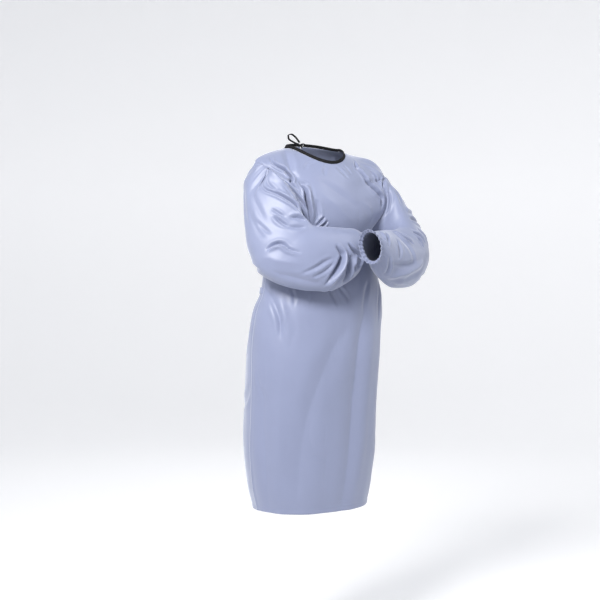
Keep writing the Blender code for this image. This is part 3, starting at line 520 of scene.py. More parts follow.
# %% Sections of the sleeves
SLEEVE_NAMES = (
    ("along",)
    + ("crook_x", "crook_y", "crook_z")
    + ("away_x", "away_y", "away_z")
    + ("elbow_x", "elbow_y", "elbow_z")
    + ("body_x", "body_y", "body_z")
)
RIGHT_SLEEVE = (
    (1.0, -0.131, -0.132, -0.173, -0.212, -0.028, -0.090, -0.199, 0.036, -0.150, -0.166, -0.036, -0.252),
    (2.0, -0.122, -0.146, -0.196, -0.223, -0.048, -0.145, -0.204, 0.020, -0.200, -0.172, -0.046, -0.266),
    (3.0, -0.112, -0.152, -0.211, -0.229, -0.068, -0.200, -0.211, 0.000, -0.250, -0.172, -0.056, -0.280),
    (4.0, -0.103, -0.154, -0.217, -0.229, -0.092, -0.248, -0.220, -0.026, -0.298, -0.163, -0.062, -0.296),
    (5.0, -0.096, -0.153, -0.219, -0.219, -0.120, -0.280, -0.219, -0.058, -0.339, -0.150, -0.072, -0.310),
    (6.0, -0.088, -0.152, -0.220, -0.196, -0.146, -0.300, -0.195, -0.094, -0.367, -0.132, -0.088, -0.316),
    (7.0, -0.076, -0.152, -0.220, -0.152, -0.172, -0.306, -0.158, -0.126, -0.384, -0.112, -0.108, -0.310),
    (8.0, -0.060, -0.153, -0.220, -0.098, -0.188, -0.308, -0.108, -0.150, -0.393, -0.078, -0.122, -0.306),
    (9.0, -0.040, -0.155, -0.221, -0.052, -0.194, -0.308, -0.060, -0.161, -0.395, -0.044, -0.128, -0.308),
    (10.0, -0.012, -0.156, -0.222, -0.012, -0.196, -0.299, -0.010, -0.163, -0.376, -0.010, -0.130, -0.299),
    (11.0, 0.022, -0.156, -0.224, 0.029, -0.191, -0.285, 0.034, -0.160, -0.346, 0.027, -0.130, -0.285),
    (12.0, 0.050, -0.154, -0.234, 0.055, -0.179, -0.269, 0.058, -0.156, -0.304, 0.053, -0.133, -0.269),
    (12.5, 0.059, -0.153, -0.238, 0.064, -0.176, -0.269, 0.066, -0.155, -0.299, 0.062, -0.134, -0.269),
    (13.0, 0.068, -0.152, -0.232, 0.073, -0.181, -0.268, 0.076, -0.154, -0.304, 0.071, -0.129, -0.268),
)
LEFT_SLEEVE = (
    (1.0, 0.190, -0.113, -0.163, 0.235, -0.045, -0.105, 0.228, 0.032, -0.165, 0.172, -0.035, -0.252),
    (2.0, 0.193, -0.135, -0.193, 0.263, -0.065, -0.155, 0.248, 0.012, -0.210, 0.180, -0.050, -0.266),
    (3.0, 0.189, -0.150, -0.211, 0.285, -0.090, -0.203, 0.266, -0.012, -0.258, 0.183, -0.068, -0.280),
    (4.0, 0.178, -0.161, -0.221, 0.296, -0.125, -0.248, 0.272, -0.045, -0.302, 0.180, -0.090, -0.292),
    (5.0, 0.162, -0.171, -0.226, 0.278, -0.163, -0.282, 0.266, -0.085, -0.342, 0.168, -0.112, -0.302),
    (6.0, 0.140, -0.181, -0.228, 0.238, -0.199, -0.306, 0.229, -0.126, -0.372, 0.146, -0.137, -0.306),
    (7.0, 0.114, -0.194, -0.228, 0.193, -0.228, -0.316, 0.184, -0.166, -0.386, 0.118, -0.160, -0.306),
    (8.0, 0.088, -0.211, -0.229, 0.142, -0.250, -0.314, 0.128, -0.202, -0.385, 0.082, -0.182, -0.305),
    (9.0, 0.060, -0.230, -0.231, 0.094, -0.269, -0.301, 0.078, -0.234, -0.367, 0.048, -0.204, -0.301),
    (10.0, 0.034, -0.247, -0.234, 0.054, -0.284, -0.284, 0.034, -0.262, -0.334, 0.017, -0.226, -0.284),
    (11.0, 0.016, -0.257, -0.236, 0.033, -0.289, -0.276, 0.018, -0.270, -0.316, 0.003, -0.238, -0.276),
    (11.5, 0.008, -0.263, -0.237, 0.023, -0.292, -0.275, 0.010, -0.275, -0.313, -0.004, -0.246, -0.275),
    (12.0, -0.001, -0.268, -0.230, 0.017, -0.302, -0.275, 0.001, -0.281, -0.320, -0.016, -0.247, -0.275),
)
RIGHT_ELASTIC = 12.5
LEFT_ELASTIC = 11.5
RING_POINTS = 192
print("sections:", len(RIGHT_SLEEVE), "right,", len(LEFT_SLEEVE), "left")

# %% Points of a sleeve's surface
def section_round(row, turn):
    """One section of a sleeve: a smooth closed curve that meets one of its four points every quarter turn."""
    entry = dict(zip(SLEEVE_NAMES, row))
    points = ("crook", "away", "elbow", "body")
    crook, away, elbow, body = (np.array([entry[f"{p}_{axis}"] for axis in "xyz"]) for p in points)
    return (
        (crook + away + elbow + body) / 4
        + np.cos(turn)[:, None] * (crook - elbow) / 2
        + np.sin(turn)[:, None] * (away - body) / 2
        + np.cos(2 * turn)[:, None] * (crook - away + elbow - body) / 4
    )


def armhole(side, count):
    """The armhole's edge, from the middle of its front over the shoulder and down to the underarm."""
    fine = np.linspace(SHOULDER_TIP, UNDERARM, LINE_STEPS)
    edge = np.full(LINE_STEPS, float(side))
    half = count // 2
    up = even(fine[::-1], front_points(fine, edge)[::-1], half + 1)[:-1]
    down = even(fine, back_points(fine, edge), half + 1)[:-1]
    sides = np.full(half, float(side))
    ring = np.concatenate([front_points(up, sides), back_points(down, sides)])
    return np.roll(ring, -(count // 4), axis=0)


def sleeve_sections(rows, side, count):
    """All of a sleeve's sections, from its armhole on, with the same number of points each."""
    turn = np.arange(count) / count * 2 * math.pi
    rings = [armhole(side, count)]
    rings += [section_round(row, turn) for row in rows]
    places = np.concatenate([[0.0], column(SLEEVE_NAMES, rows, "along")])
    return places, np.stack(rings)


def sleeve_points(rows, side):
    """A function that gives points of one sleeve's surface, by place along it and round it."""
    count = RING_POINTS
    places, rings = sleeve_sections(rows, side, count)
    rings = np.concatenate([rings, rings[:, :1]], axis=1)

    def points_at(along, round_it):
        along = np.asarray(along, float)
        column_of = (np.asarray(round_it, float) % 1.0) * count
        left = np.floor(column_of).astype(int)
        share = (column_of - left)[..., None]
        places_asked, pick = np.unique(along.reshape(-1), return_inverse=True)
        flat = through(places, rings, places_asked)
        first = flat[pick, left.reshape(-1)].reshape(along.shape + (3,))
        second = flat[pick, left.reshape(-1) + 1].reshape(along.shape + (3,))
        return first * (1 - share) + second * share

    return points_at


def sleeve_rows(points_at, start, stop, count):
    """count places along a sleeve, evenly spaced by the cloth's mean length."""
    fine = np.linspace(start, stop, LINE_STEPS)
    lines = [points_at(fine, np.full(LINE_STEPS, r)) for r in np.arange(8) / 8]
    far = np.mean([lengths(line) for line in lines], axis=0)
    return np.interp(np.linspace(0, far[-1], count), far, fine)


def normals_of(points, closed):
    """The outward direction at each point of a grid of points.

    The grid's rows run down the garment, and its columns run so that down crossed with across points out.
    """
    if closed:
        side = np.roll(points, -1, axis=1) - np.roll(points, 1, axis=1)
    else:
        side = np.gradient(points, axis=1)
    down = np.gradient(points, axis=0)
    normal = np.cross(down, side)
    return normal / np.linalg.norm(normal, axis=-1, keepdims=True)


# %% [markdown]
# ## Pressing folds into cloth
#
# Noise alone never looks like cloth, because real folds start somewhere and end somewhere: at a seam, in a
# crook, at a tie. So every fold here is a line on the garment, written down as places that it passes.
# A negative depth presses a trough and a positive one raises a ridge. Cloth that sinks in one place piles up
# beside it, so each fold also has a shoulder on its right and on its left, seen along the line from outside.
#
# The lines differ in length, depth and width on purpose: even spacing is what makes modelled cloth look
# modelled.

# %% Work out how far a fold lifts each point
FOLD_POINTS = 90
FOLD_REACH = 4.0  # widths beyond which a fold does nothing
SHOULDER_AT = 1.75  # how many widths from its line a fold's shoulders stand
SHOULDER_WIDTH = 0.95


def fold_line(surface, path):
    """Points along a fold, and the direction to its right at each."""
    places = np.array(path, float)
    wanted = np.linspace(0, len(places) - 1, FOLD_POINTS)
    run = through(np.arange(len(places)), places, wanted)
    step = 0.01
    here = surface(run[:, 1], run[:, 0])
    down = surface(run[:, 1] + step, run[:, 0]) - here
    side = surface(run[:, 1], run[:, 0] + step) - here
    outward = np.cross(down, side)
    ahead = np.gradient(here, axis=0)
    right = np.cross(ahead, outward)
    return here, right / np.linalg.norm(right, axis=1, keepdims=True)


def fold_profile(u, right, left):
    """The height of a fold's section at u widths to the right of its line."""
    trough = np.exp(-(np.abs(u) ** 1.35))
    right_shoulder = right * np.exp(-(((u - SHOULDER_AT) / SHOULDER_WIDTH) ** 2))
    left_shoulder = left * np.exp(-(((u + SHOULDER_AT) / SHOULDER_WIDTH) ** 2))
    return trough - right_shoulder - left_shoulder


def fold_lift(points, surface, folds, facing=1):
    """How far each point is lifted by a table of folds. facing is -1 where across runs the other way."""
    flat = points.reshape(-1, 3)
    lift = np.zeros(len(flat))
    for path, depth, width, right, left in folds:
        line, side = fold_line(surface, path)
        side = side * facing
        low = line.min(axis=0) - FOLD_REACH * width
        high = line.max(axis=0) + FOLD_REACH * width
        near = np.where(np.all((flat > low) & (flat < high), axis=1))[0]
        if len(near) == 0:
            continue
        offset = flat[near, None] - line[None]
        away = np.linalg.norm(offset, axis=2)
        nearest = away.argmin(axis=1)
        pick = np.arange(len(near))
        sign = np.sign(np.einsum("ij,ij->i", offset[pick, nearest], side[nearest]))
        along = nearest / (FOLD_POINTS - 1)
        taper = np.sin(math.pi * np.clip(along, 0.004, 0.996)) ** 0.65
        breadth = width * (0.65 + 0.35 * taper)
        u = sign * away[pick, nearest] / breadth
        lift[near] += depth * taper * fold_profile(u, right, left)
    return lift.reshape(points.shape[:-1])


print("a trough's section:", fold_profile(np.array([-2.0, 0.0, 2.0]), 0.4, 0.4).round(2))

# %% [markdown]
# ## Small creases
#
# Between the large folds, worn cloth is never quite smooth. Smooth random values on a lattice of points give
# soft swellings, and folding them about zero gives thin, sharp creases. The table of random values is seeded,
# so the gown comes out the same each time.

# %% Smooth random values and creases
LATTICE = 48
random_table = np.random.default_rng(11).uniform(-1, 1, (LATTICE, LATTICE, LATTICE))


def soft_noise(points, size, shift=0.0):
    """Smooth values between about -1 and 1 that change over size metres. size may differ by axis."""
    cell = points / np.array(size) + shift
    base = np.floor(cell).astype(int)
    share = ease(cell - base)
    total = np.zeros(points.shape[:-1])
    for corner in range(8):
        bit = np.array([corner & 1, corner >> 1 & 1, corner >> 2 & 1])
        index = (base + bit) % LATTICE
        weight = np.where(bit, share, 1 - share).prod(axis=-1)
        total += weight * random_table[index[..., 0], index[..., 1], index[..., 2]]
    return total


def creases(points, size, shift=0.0):
    """Thin raised creases between about 0 and 1, from noise folded about zero."""
    return (1 - np.abs(soft_noise(points, size, shift))) ** 6


sample = np.zeros((1, 3)) + 0.013
print("noise at one point:", soft_noise(sample, (0.05, 0.05, 0.05)).round(3))

# %% [markdown]
# ## Where the folds of the front lie
#
# The folded sleeves draw the chest in on both sides, so folds run down from each shoulder towards the crook
# of the elbows. The deepest one follows the right armhole. Below them the cloth is drawn towards the waist
# tie, and further down the skirt hangs in a few broad, shallow folds.
#
# A path lists places as across and down.

# %% The front's folds
# Each row: path, depth, width, and how much of the depth piles up on its right and on its left.
CHEST_FOLDS = (
    (
        ((-0.78, 0.74), (-0.65, 0.86), (-0.5, 0.95), (-0.47, 1.2), (-0.52, 1.45), (-0.6, 1.66), (-0.64, 2.0)),
        -0.0147, 0.0042, 0.35, 0.60,
    ),
    (
        (
            (-0.95, 1.55), (-0.95, 1.95), (-0.92, 2.15), (-0.87, 2.28),
            (-0.77, 2.4), (-0.66, 2.5), (-0.58, 2.62),
        ),
        -0.0119, 0.0040, 0.30, 0.40,
    ),
    (
        (
            (-0.42, 1.45), (-0.42, 1.64), (-0.48, 1.95), (-0.55, 2.25),
            (-0.55, 2.4), (-0.5, 2.54), (-0.38, 2.96),
        ),
        -0.0175, 0.0044, 0.35, 0.40,
    ),
    (((-0.3, 1.3), (-0.36, 1.65), (-0.44, 2.2), (-0.43, 2.45), (-0.39, 2.8)), 0.0070, 0.0060, 0.15, 0.45),
    (((-0.31, 1.95), (-0.32, 2.35), (-0.31, 2.75)), -0.0063, 0.0060, 0.0, 0.3),
    (((-0.33, 2.88), (-0.28, 2.7), (-0.23, 2.52)), -0.0073, 0.0037, 0.5, 0.5),
    (((-0.3, 3.0), (-0.25, 2.84), (-0.18, 2.64)), -0.0073, 0.0037, 0.5, 0.5),
    (((-0.43, 1.6), (-0.41, 1.44), (-0.36, 1.35), (-0.31, 1.37)), -0.0042, 0.0036, 0.4, 0.4),
    (((-0.86, 0.2), (-0.62, 0.55), (-0.49, 0.76), (-0.37, 1.1)), -0.0084, 0.0110, 0.2, 0.2),
    (((-0.96, 1.05), (-0.9, 1.25), (-0.85, 1.42), (-0.74, 1.58)), -0.0042, 0.0040, 0.4, 0.3),
    (
        ((0.6, 0.34), (0.42, 0.58), (0.35, 1.02), (0.41, 1.4), (0.52, 1.8), (0.66, 2.2), (0.7, 2.5)),
        -0.0160, 0.0056, 0.25, 0.50,
    ),
    (((0.58, 0.76), (0.56, 1.03), (0.6, 1.36)), -0.0119, 0.0040, 0.35, 0.45),
    (((0.95, 1.2), (0.92, 1.5), (0.82, 1.95)), -0.0133, 0.0056, 0.4, 0.3),
    (((0.66, 0.5), (0.7, 0.9), (0.78, 1.3)), 0.0030, 0.0080, 0.2, 0.2),
    (((0.07, 0.22), (0.11, 0.5), (0.14, 0.85)), -0.0025, 0.0050, 0.4, 0.4),
    (((-0.12, 0.22), (-0.14, 0.5), (-0.12, 0.75)), -0.0020, 0.0055, 0.4, 0.4),
    (((0.24, 0.2), (0.25, 0.45), (0.22, 0.7)), -0.0022, 0.0050, 0.4, 0.4),
    (((-0.34, 0.2), (-0.38, 0.42), (-0.36, 0.7)), -0.0022, 0.0055, 0.4, 0.4),
    (((-0.16, 1.0), (0.02, 1.55), (0.26, 2.2)), -0.0031, 0.0130, 0.2, 0.3),
    (((-0.24, 1.45), (-0.06, 2.05), (0.2, 2.7)), 0.0020, 0.0130, 0.2, 0.2),
    (((0.3, 2.0), (0.46, 2.4), (0.56, 2.9)), 0.0026, 0.0100, 0.2, 0.2),
)
WAIST_FOLDS = (
    (((-0.95, 4.95), (-0.81, 5.2), (-0.68, 5.6), (-0.61, 6.05), (-0.59, 6.6)), -0.0080, 0.0080, 0.35, 0.5),
    (((-0.7, 4.95), (-0.58, 5.6), (-0.5, 6.3), (-0.5, 6.8)), 0.0030, 0.0100, 0.2, 0.2),
    (((-0.56, 4.85), (-0.51, 5.15), (-0.47, 5.45)), -0.0034, 0.0052, 0.4, 0.4),
    (((-0.34, 4.8), (-0.31, 5.1), (-0.31, 5.5)), -0.0020, 0.0060, 0.3, 0.3),
    (((-0.15, 4.85), (-0.1, 5.15), (-0.03, 5.5)), -0.0052, 0.0050, 0.4, 0.4),
    (((-0.05, 4.8), (0.0, 5.05), (0.06, 5.35)), -0.0052, 0.0048, 0.4, 0.4),
    (((0.34, 4.7), (0.27, 5.1), (0.24, 5.7)), -0.0040, 0.0080, 0.3, 0.3),
    (((0.66, 4.7), (0.57, 5.2), (0.5, 6.1)), -0.0050, 0.0090, 0.35, 0.35),
    (((0.9, 4.75), (0.82, 5.3), (0.76, 6.4)), -0.0040, 0.0090, 0.3, 0.3),
)
SKIRT_FOLDS = (
    (
        ((0.28, 5.3), (0.22, 6.3), (0.18, 7.2), (0.15, 8.4), (0.13, 9.3), (0.08, 10.7)),
        -0.0110, 0.0260, 0.10, 0.35,
    ),
    (
        ((0.09, 6.1), (-0.12, 7.3), (-0.27, 8.3), (-0.33, 9.4), (-0.39, 10.7)),
        -0.0062, 0.0280, 0.30, 0.2,
    ),
    (((-0.23, 9.18), (-0.13, 9.26), (-0.03, 9.36)), -0.0018, 0.0060, 0.5, 0.3),
    (((0.76, 5.9), (0.72, 7.8), (0.77, 9.2), (0.72, 10.7)), -0.0060, 0.0240, 0.3, 0.3),
    (((-0.76, 6.6), (-0.79, 8.2), (-0.73, 9.4), (-0.76, 10.7)), -0.0040, 0.0200, 0.3, 0.3),
    (((-0.52, 6.9), (-0.56, 8.2), (-0.56, 9.6)), 0.0028, 0.0200, 0.1, 0.1),
    (((-0.9, 7.4), (-0.84, 7.75), (-0.74, 8.0)), -0.0016, 0.0080, 0.4, 0.4),
)
FRONT_FOLDS = CHEST_FOLDS + WAIST_FOLDS + SKIRT_FOLDS
print("folds of the front:", len(FRONT_FOLDS))

# %% [markdown]
# ## Where the folds of the back lie
#
# The photograph doesn't show the back, so its folds follow the same rules: drag lines run from the armholes
# to the waist tie, short ones fan out below it, and long shallow ones hang in the skirt. The two sides are
# written out separately, because a mirrored crease is the first thing an eye picks out.

# %% The back's folds
BACK_FOLDS = (
    (((0.9, 3.65), (0.63, 4.25), (0.3, 4.85)), -0.0058, 0.0090, 0.4, 0.4),
    (((0.78, 4.2), (0.52, 4.6), (0.2, 4.93)), -0.0044, 0.0070, 0.4, 0.4),
    (((0.36, 3.5), (0.27, 4.2), (0.12, 4.86)), -0.0040, 0.0080, 0.3, 0.3),
    (((0.16, 5.15), (0.24, 5.8), (0.33, 6.8)), -0.0056, 0.0100, 0.35, 0.35),
    (((0.35, 5.15), (0.47, 5.9), (0.55, 7.2)), -0.0056, 0.0110, 0.35, 0.35),
    (((0.6, 5.15), (0.69, 6.1), (0.73, 7.5)), -0.0046, 0.0110, 0.3, 0.3),
    (((0.2, 5.6), (0.24, 7.4), (0.17, 9.0), (0.2, 10.7)), -0.0075, 0.0250, 0.3, 0.3),
    (((0.46, 6.2), (0.51, 8.2), (0.56, 10.7)), 0.0062, 0.0240, 0.2, 0.2),
    (((0.8, 6.5), (0.74, 8.5), (0.81, 10.7)), -0.0055, 0.0220, 0.3, 0.3),
    (((0.84, 1.25), (0.62, 1.85), (0.45, 2.6)), -0.0040, 0.0090, 0.3, 0.3),
    (((0.92, 2.0), (0.74, 2.5), (0.64, 3.1)), -0.0040, 0.0080, 0.3, 0.3),
    (((0.62, 0.35), (0.42, 0.8), (0.22, 1.2)), -0.0028, 0.0080, 0.3, 0.3),
    (((-0.92, 3.75), (-0.6, 4.4), (-0.27, 4.88)), -0.0062, 0.0085, 0.4, 0.4),
    (((-0.7, 3.9), (-0.5, 4.5), (-0.2, 4.92)), -0.0040, 0.0080, 0.4, 0.4),
    (((-0.26, 3.3), (-0.22, 4.1), (-0.1, 4.86)), -0.0036, 0.0090, 0.3, 0.3),
    (((-0.14, 5.15), (-0.26, 6.0), (-0.3, 7.1)), -0.0060, 0.0110, 0.35, 0.35),
    (((-0.4, 5.15), (-0.5, 5.7), (-0.52, 6.6)), -0.0050, 0.0100, 0.35, 0.35),
    (((-0.64, 5.15), (-0.74, 6.0), (-0.8, 7.2)), -0.0050, 0.0110, 0.3, 0.3),
    (((-0.34, 5.5), (-0.4, 7.3), (-0.36, 9.0), (-0.42, 10.7)), -0.0085, 0.0260, 0.3, 0.3),
    (((-0.62, 6.6), (-0.64, 8.6), (-0.6, 10.7)), 0.0055, 0.0240, 0.2, 0.2),
    (((-0.98, 7.75), (-0.82, 8.0), (-0.6, 8.2)), -0.0052, 0.0120, 0.45, 0.45),
    (((-0.86, 1.3), (-0.66, 1.9), (-0.42, 2.7)), -0.0044, 0.0085, 0.3, 0.3),
    (((-0.94, 2.2), (-0.8, 2.7), (-0.72, 3.3)), -0.0036, 0.0080, 0.3, 0.3),
    (((-0.55, 0.4), (-0.38, 0.9), (-0.2, 1.4)), -0.0026, 0.0085, 0.3, 0.3),
)
print("folds of the back:", len(BACK_FOLDS))

# %% [markdown]
# ## Where the folds of the sleeves lie
#
# Each sleeve has four kinds: drag folds from the shoulder into the crook, a hard crease where the cloth
# doubles over above the elbow, soft lengthwise swellings on the forearm, and short deep ones where the
# elastic gathers the wrist. A path lists places as round and along.

# %% The sleeves' folds
RIGHT_SLEEVE_FOLDS = (
    (
        ((0.225, 1.25), (0.185, 1.48), (0.15, 1.5), (0.1, 1.6), (0.055, 1.64), (0.02, 1.88), (0.0, 2.2)),
        -0.0112, 0.0044, 0.45, 0.45,
    ),
    (((0.178, 2.5), (0.155, 2.8), (0.138, 3.06)), -0.0056, 0.0040, 0.4, 0.4),
    (((0.174, 2.9), (0.157, 3.4), (0.136, 3.98)), -0.0097, 0.0044, 0.5, 0.4),
    (((0.192, 0.85), (0.17, 1.2), (0.14, 1.34)), -0.0045, 0.0042, 0.3, 0.4),
    (((0.1, 0.6), (0.07, 0.8), (0.04, 1.0)), -0.0030, 0.0045, 0.3, 0.4),
    (((0.118, 3.2), (0.088, 3.02), (0.05, 3.2)), -0.0077, 0.0056, 0.2, 0.4),
    (((0.14, 4.0), (0.11, 4.4), (0.08, 4.9)), -0.0050, 0.0055, 0.3, 0.4),
    (((0.248, 3.1), (0.226, 3.6), (0.205, 4.1)), -0.0042, 0.0050, 0.35, 0.35),
    (((0.29, 2.4), (0.265, 3.2), (0.235, 4.2)), -0.0032, 0.0080, 0.35, 0.35),
    (((0.27, 1.5), (0.235, 2.4), (0.21, 3.1)), -0.0030, 0.0075, 0.3, 0.3),
    (((0.34, 1.4), (0.33, 2.4), (0.28, 3.6)), -0.0030, 0.0090, 0.3, 0.3),
    (
        ((0.263, 5.0), (0.236, 4.93), (0.207, 5.1), (0.2, 5.5), (0.21, 6.1), (0.221, 6.8)),
        -0.0131, 0.0048, 0.65, 0.20,
    ),
    (((0.31, 5.0), (0.28, 5.6), (0.275, 6.3), (0.28, 7.0)), 0.0030, 0.0110, 0.2, 0.1),
    (((0.33, 7.3), (0.29, 7.85), (0.26, 8.3), (0.245, 8.75)), -0.0050, 0.0054, 0.35, 0.35),
    (((0.348, 7.8), (0.31, 8.35), (0.27, 8.8)), -0.0042, 0.0050, 0.35, 0.35),
    (((0.35, 6.0), (0.36, 7.2), (0.385, 8.3)), -0.0032, 0.0090, 0.3, 0.3),
    (
        ((0.18, 8.9), (0.205, 9.2), (0.232, 9.44), (0.27, 9.27), (0.3, 9.08), (0.335, 8.86), (0.395, 8.6)),
        -0.0187, 0.0058, 0.20, 0.45,
    ),
    (((0.22, 9.72), (0.28, 9.6), (0.315, 9.38), (0.365, 9.06), (0.415, 8.9)), 0.0090, 0.0058, 0.2, 0.2),
    (((0.25, 10.2), (0.31, 10.05), (0.36, 9.98), (0.42, 9.8)), -0.0187, 0.0080, 0.20, 0.30),
    (((0.25, 10.5), (0.3, 10.42), (0.36, 10.3)), 0.0050, 0.0044, 0.2, 0.2),
    (((0.18, 10.0), (0.22, 10.3), (0.26, 10.65), (0.305, 10.98)), -0.0163, 0.0046, 0.40, 0.40),
    (((0.31, 10.42), (0.335, 10.4), (0.365, 10.42)), -0.0100, 0.0040, 0.2, 0.2),
    (((0.21, 10.95), (0.27, 11.3), (0.34, 11.0), (0.38, 10.6)), 0.0056, 0.0046, 0.3, 0.3),
    (((0.42, 3.3), (0.5, 3.8), (0.58, 3.95)), -0.0055, 0.0080, 0.4, 0.3),
    (((0.4, 5.3), (0.47, 4.85), (0.56, 4.7)), -0.0055, 0.0075, 0.4, 0.3),
    (((0.46, 9.2), (0.53, 9.0), (0.6, 9.1)), -0.0063, 0.0065, 0.35, 0.35),
    (((0.42, 1.2), (0.48, 2.0), (0.5, 2.9)), -0.0045, 0.0085, 0.3, 0.3),
    (((0.56, 1.1), (0.6, 1.8), (0.62, 2.6)), -0.0045, 0.0080, 0.3, 0.3),
)
LEFT_SLEEVE_FOLDS = (
    (((0.035, 6.95), (0.07, 6.93), (0.105, 6.86), (0.125, 6.68), (0.15, 6.4)), -0.0162, 0.0046, 0.45, 0.45),
    (((0.06, 6.3), (0.1, 6.25), (0.14, 6.1)), 0.0050, 0.0060, 0.2, 0.2),
    (((0.1, 4.85), (0.145, 4.86), (0.195, 5.0)), -0.0121, 0.0050, 0.45, 0.45),
    (((0.14, 5.32), (0.165, 5.4), (0.195, 5.58)), -0.0078, 0.0038, 0.4, 0.4),
    (
        ((0.43, 9.6), (0.41, 9.15), (0.35, 8.65), (0.305, 7.9), (0.275, 7.1), (0.25, 6.4)),
        0.0100, 0.0110, 0.35, 0.20,
    ),
    (((0.33, 9.6), (0.285, 8.6), (0.245, 7.2)), -0.0046, 0.0060, 0.2, 0.3),
    (((0.1, 2.1), (0.17, 2.35), (0.26, 2.5)), 0.0050, 0.0110, 0.2, 0.2),
    (((0.1, 2.9), (0.17, 3.1), (0.26, 3.3)), -0.0089, 0.0062, 0.5, 0.5),
    (((0.13, 3.95), (0.19, 4.2), (0.27, 4.4)), -0.0061, 0.0060, 0.4, 0.4),
    (((0.03, 9.5), (0.1, 9.85), (0.16, 9.95), (0.22, 9.95)), -0.0065, 0.0050, 0.35, 0.35),
    (((0.05, 8.7), (0.1, 9.2), (0.15, 9.6), (0.2, 9.75)), -0.0059, 0.0050, 0.35, 0.35),
    (((0.12, 8.1), (0.18, 8.45), (0.26, 8.9)), -0.0051, 0.0066, 0.35, 0.35),
    (((0.09, 7.5), (0.17, 7.3), (0.26, 7.45)), -0.0035, 0.0090, 0.35, 0.35),
    (((0.3, 9.9), (0.38, 9.6), (0.46, 9.5)), -0.0062, 0.0060, 0.35, 0.35),
    (((0.33, 6.4), (0.4, 6.05), (0.48, 5.9)), -0.0059, 0.0080, 0.35, 0.35),
    (((0.42, 7.0), (0.45, 8.0), (0.46, 8.9)), -0.0041, 0.0090, 0.3, 0.3),
    (((0.13, 0.34), (0.02, 0.42), (-0.06, 0.52)), -0.0062, 0.0036, 0.4, 0.4),
    (((0.2, 0.6), (0.14, 1.0), (0.08, 1.6)), -0.0041, 0.0060, 0.4, 0.4),
    (((0.27, 1.0), (0.22, 1.7), (0.12, 2.6)), -0.0041, 0.0070, 0.35, 0.35),
    (((0.38, 1.2), (0.42, 2.2), (0.42, 3.2)), -0.0046, 0.0085, 0.3, 0.3),
    (((0.54, 1.2), (0.6, 2.0), (0.62, 2.9)), -0.0049, 0.0080, 0.3, 0.3),
    (((0.46, 3.6), (0.54, 4.1), (0.6, 4.2)), -0.0054, 0.0080, 0.35, 0.35),
)
print("folds of the sleeves:", len(RIGHT_SLEEVE_FOLDS), "and", len(LEFT_SLEEVE_FOLDS))

# %% [markdown]
# ## Shader groups
#
# The gown's cloth is a smooth, closely woven polyester. From the camera nobody can see its threads, but they
# decide how it takes the light: matt, with a broad soft sheen at grazing angles. Both materials share three
# node groups, one for the weave, one for uneven tone and one for crinkles too small to model. The groups put
# out only values and colours, and each material decides what to do with them.

# %% Node groups for cloth
def new_group(name, inputs, outputs):
    """A shader node group with named sockets, and its input and output nodes."""
    tree = bpy.data.node_groups.new(name, "ShaderNodeTree")
    for socket, kind, value in inputs:
        made = tree.interface.new_socket(socket, in_out="INPUT", socket_type=kind)
        if value is not None:
            made.default_value = value
    for socket, kind in outputs:
        tree.interface.new_socket(socket, in_out="OUTPUT", socket_type=kind)
    start = tree.nodes.new("NodeGroupInput")
    end = tree.nodes.new("NodeGroupOutput")
    return tree, start, end


def feed(tree, node, socket, value):
    """Link a socket to another node's output, or set its constant."""
    if isinstance(value, bpy.types.NodeSocket):
        tree.links.new(value, node.inputs[socket])
    else:
        node.inputs[socket].default_value = value


def maths(tree, operation, *values):
    """The output of a math node."""
    made = tree.nodes.new("ShaderNodeMath")
    made.operation = operation
    for place, value in enumerate(values):
        feed(tree, made, place, value)
    return made.outputs[0]


def noise(tree, vector, scale, detail):
    """The value of a noise texture."""
    made = tree.nodes.new("ShaderNodeTexNoise")
    feed(tree, made, "Vector", vector)
    feed(tree, made, "Scale", scale)
    feed(tree, made, "Detail", detail)
    return made.outputs[0]


def make_weave_group():
    """A plain weave: threads that pass over and under each other in turn. Vector is a UV map in metres."""
    inputs = (("Vector", "NodeSocketVector", None), ("Pitch", "NodeSocketFloat", 0.0006))
    outputs = (("Height", "NodeSocketFloat"), ("Tone", "NodeSocketFloat"))
    tree, start, end = new_group("plain_weave", inputs, outputs)
    split = tree.nodes.new("ShaderNodeSeparateXYZ")
    tree.links.new(start.outputs["Vector"], split.inputs[0])
    turns = []
    for axis in (0, 1):
        cell = maths(tree, "DIVIDE", split.outputs[axis], start.outputs["Pitch"])
        turns.append(maths(tree, "SINE", maths(tree, "MULTIPLY", cell, math.pi)))
    warp, weft = turns
    over = maths(tree, "GREATER_THAN", maths(tree, "MULTIPLY", warp, weft), 0.0)
    under = maths(tree, "SUBTRACT", 1.0, over)
    warp_part = maths(tree, "MULTIPLY", maths(tree, "ABSOLUTE", warp), over)
    weft_part = maths(tree, "MULTIPLY", maths(tree, "ABSOLUTE", weft), under)
    tree.links.new(maths(tree, "ADD", warp_part, weft_part), end.inputs["Height"])
    slub = noise(tree, start.outputs["Vector"], 900.0, 2.0)
    tree.links.new(maths(tree, "MULTIPLY_ADD", slub, 0.12, 0.94), end.inputs["Tone"])
    return tree


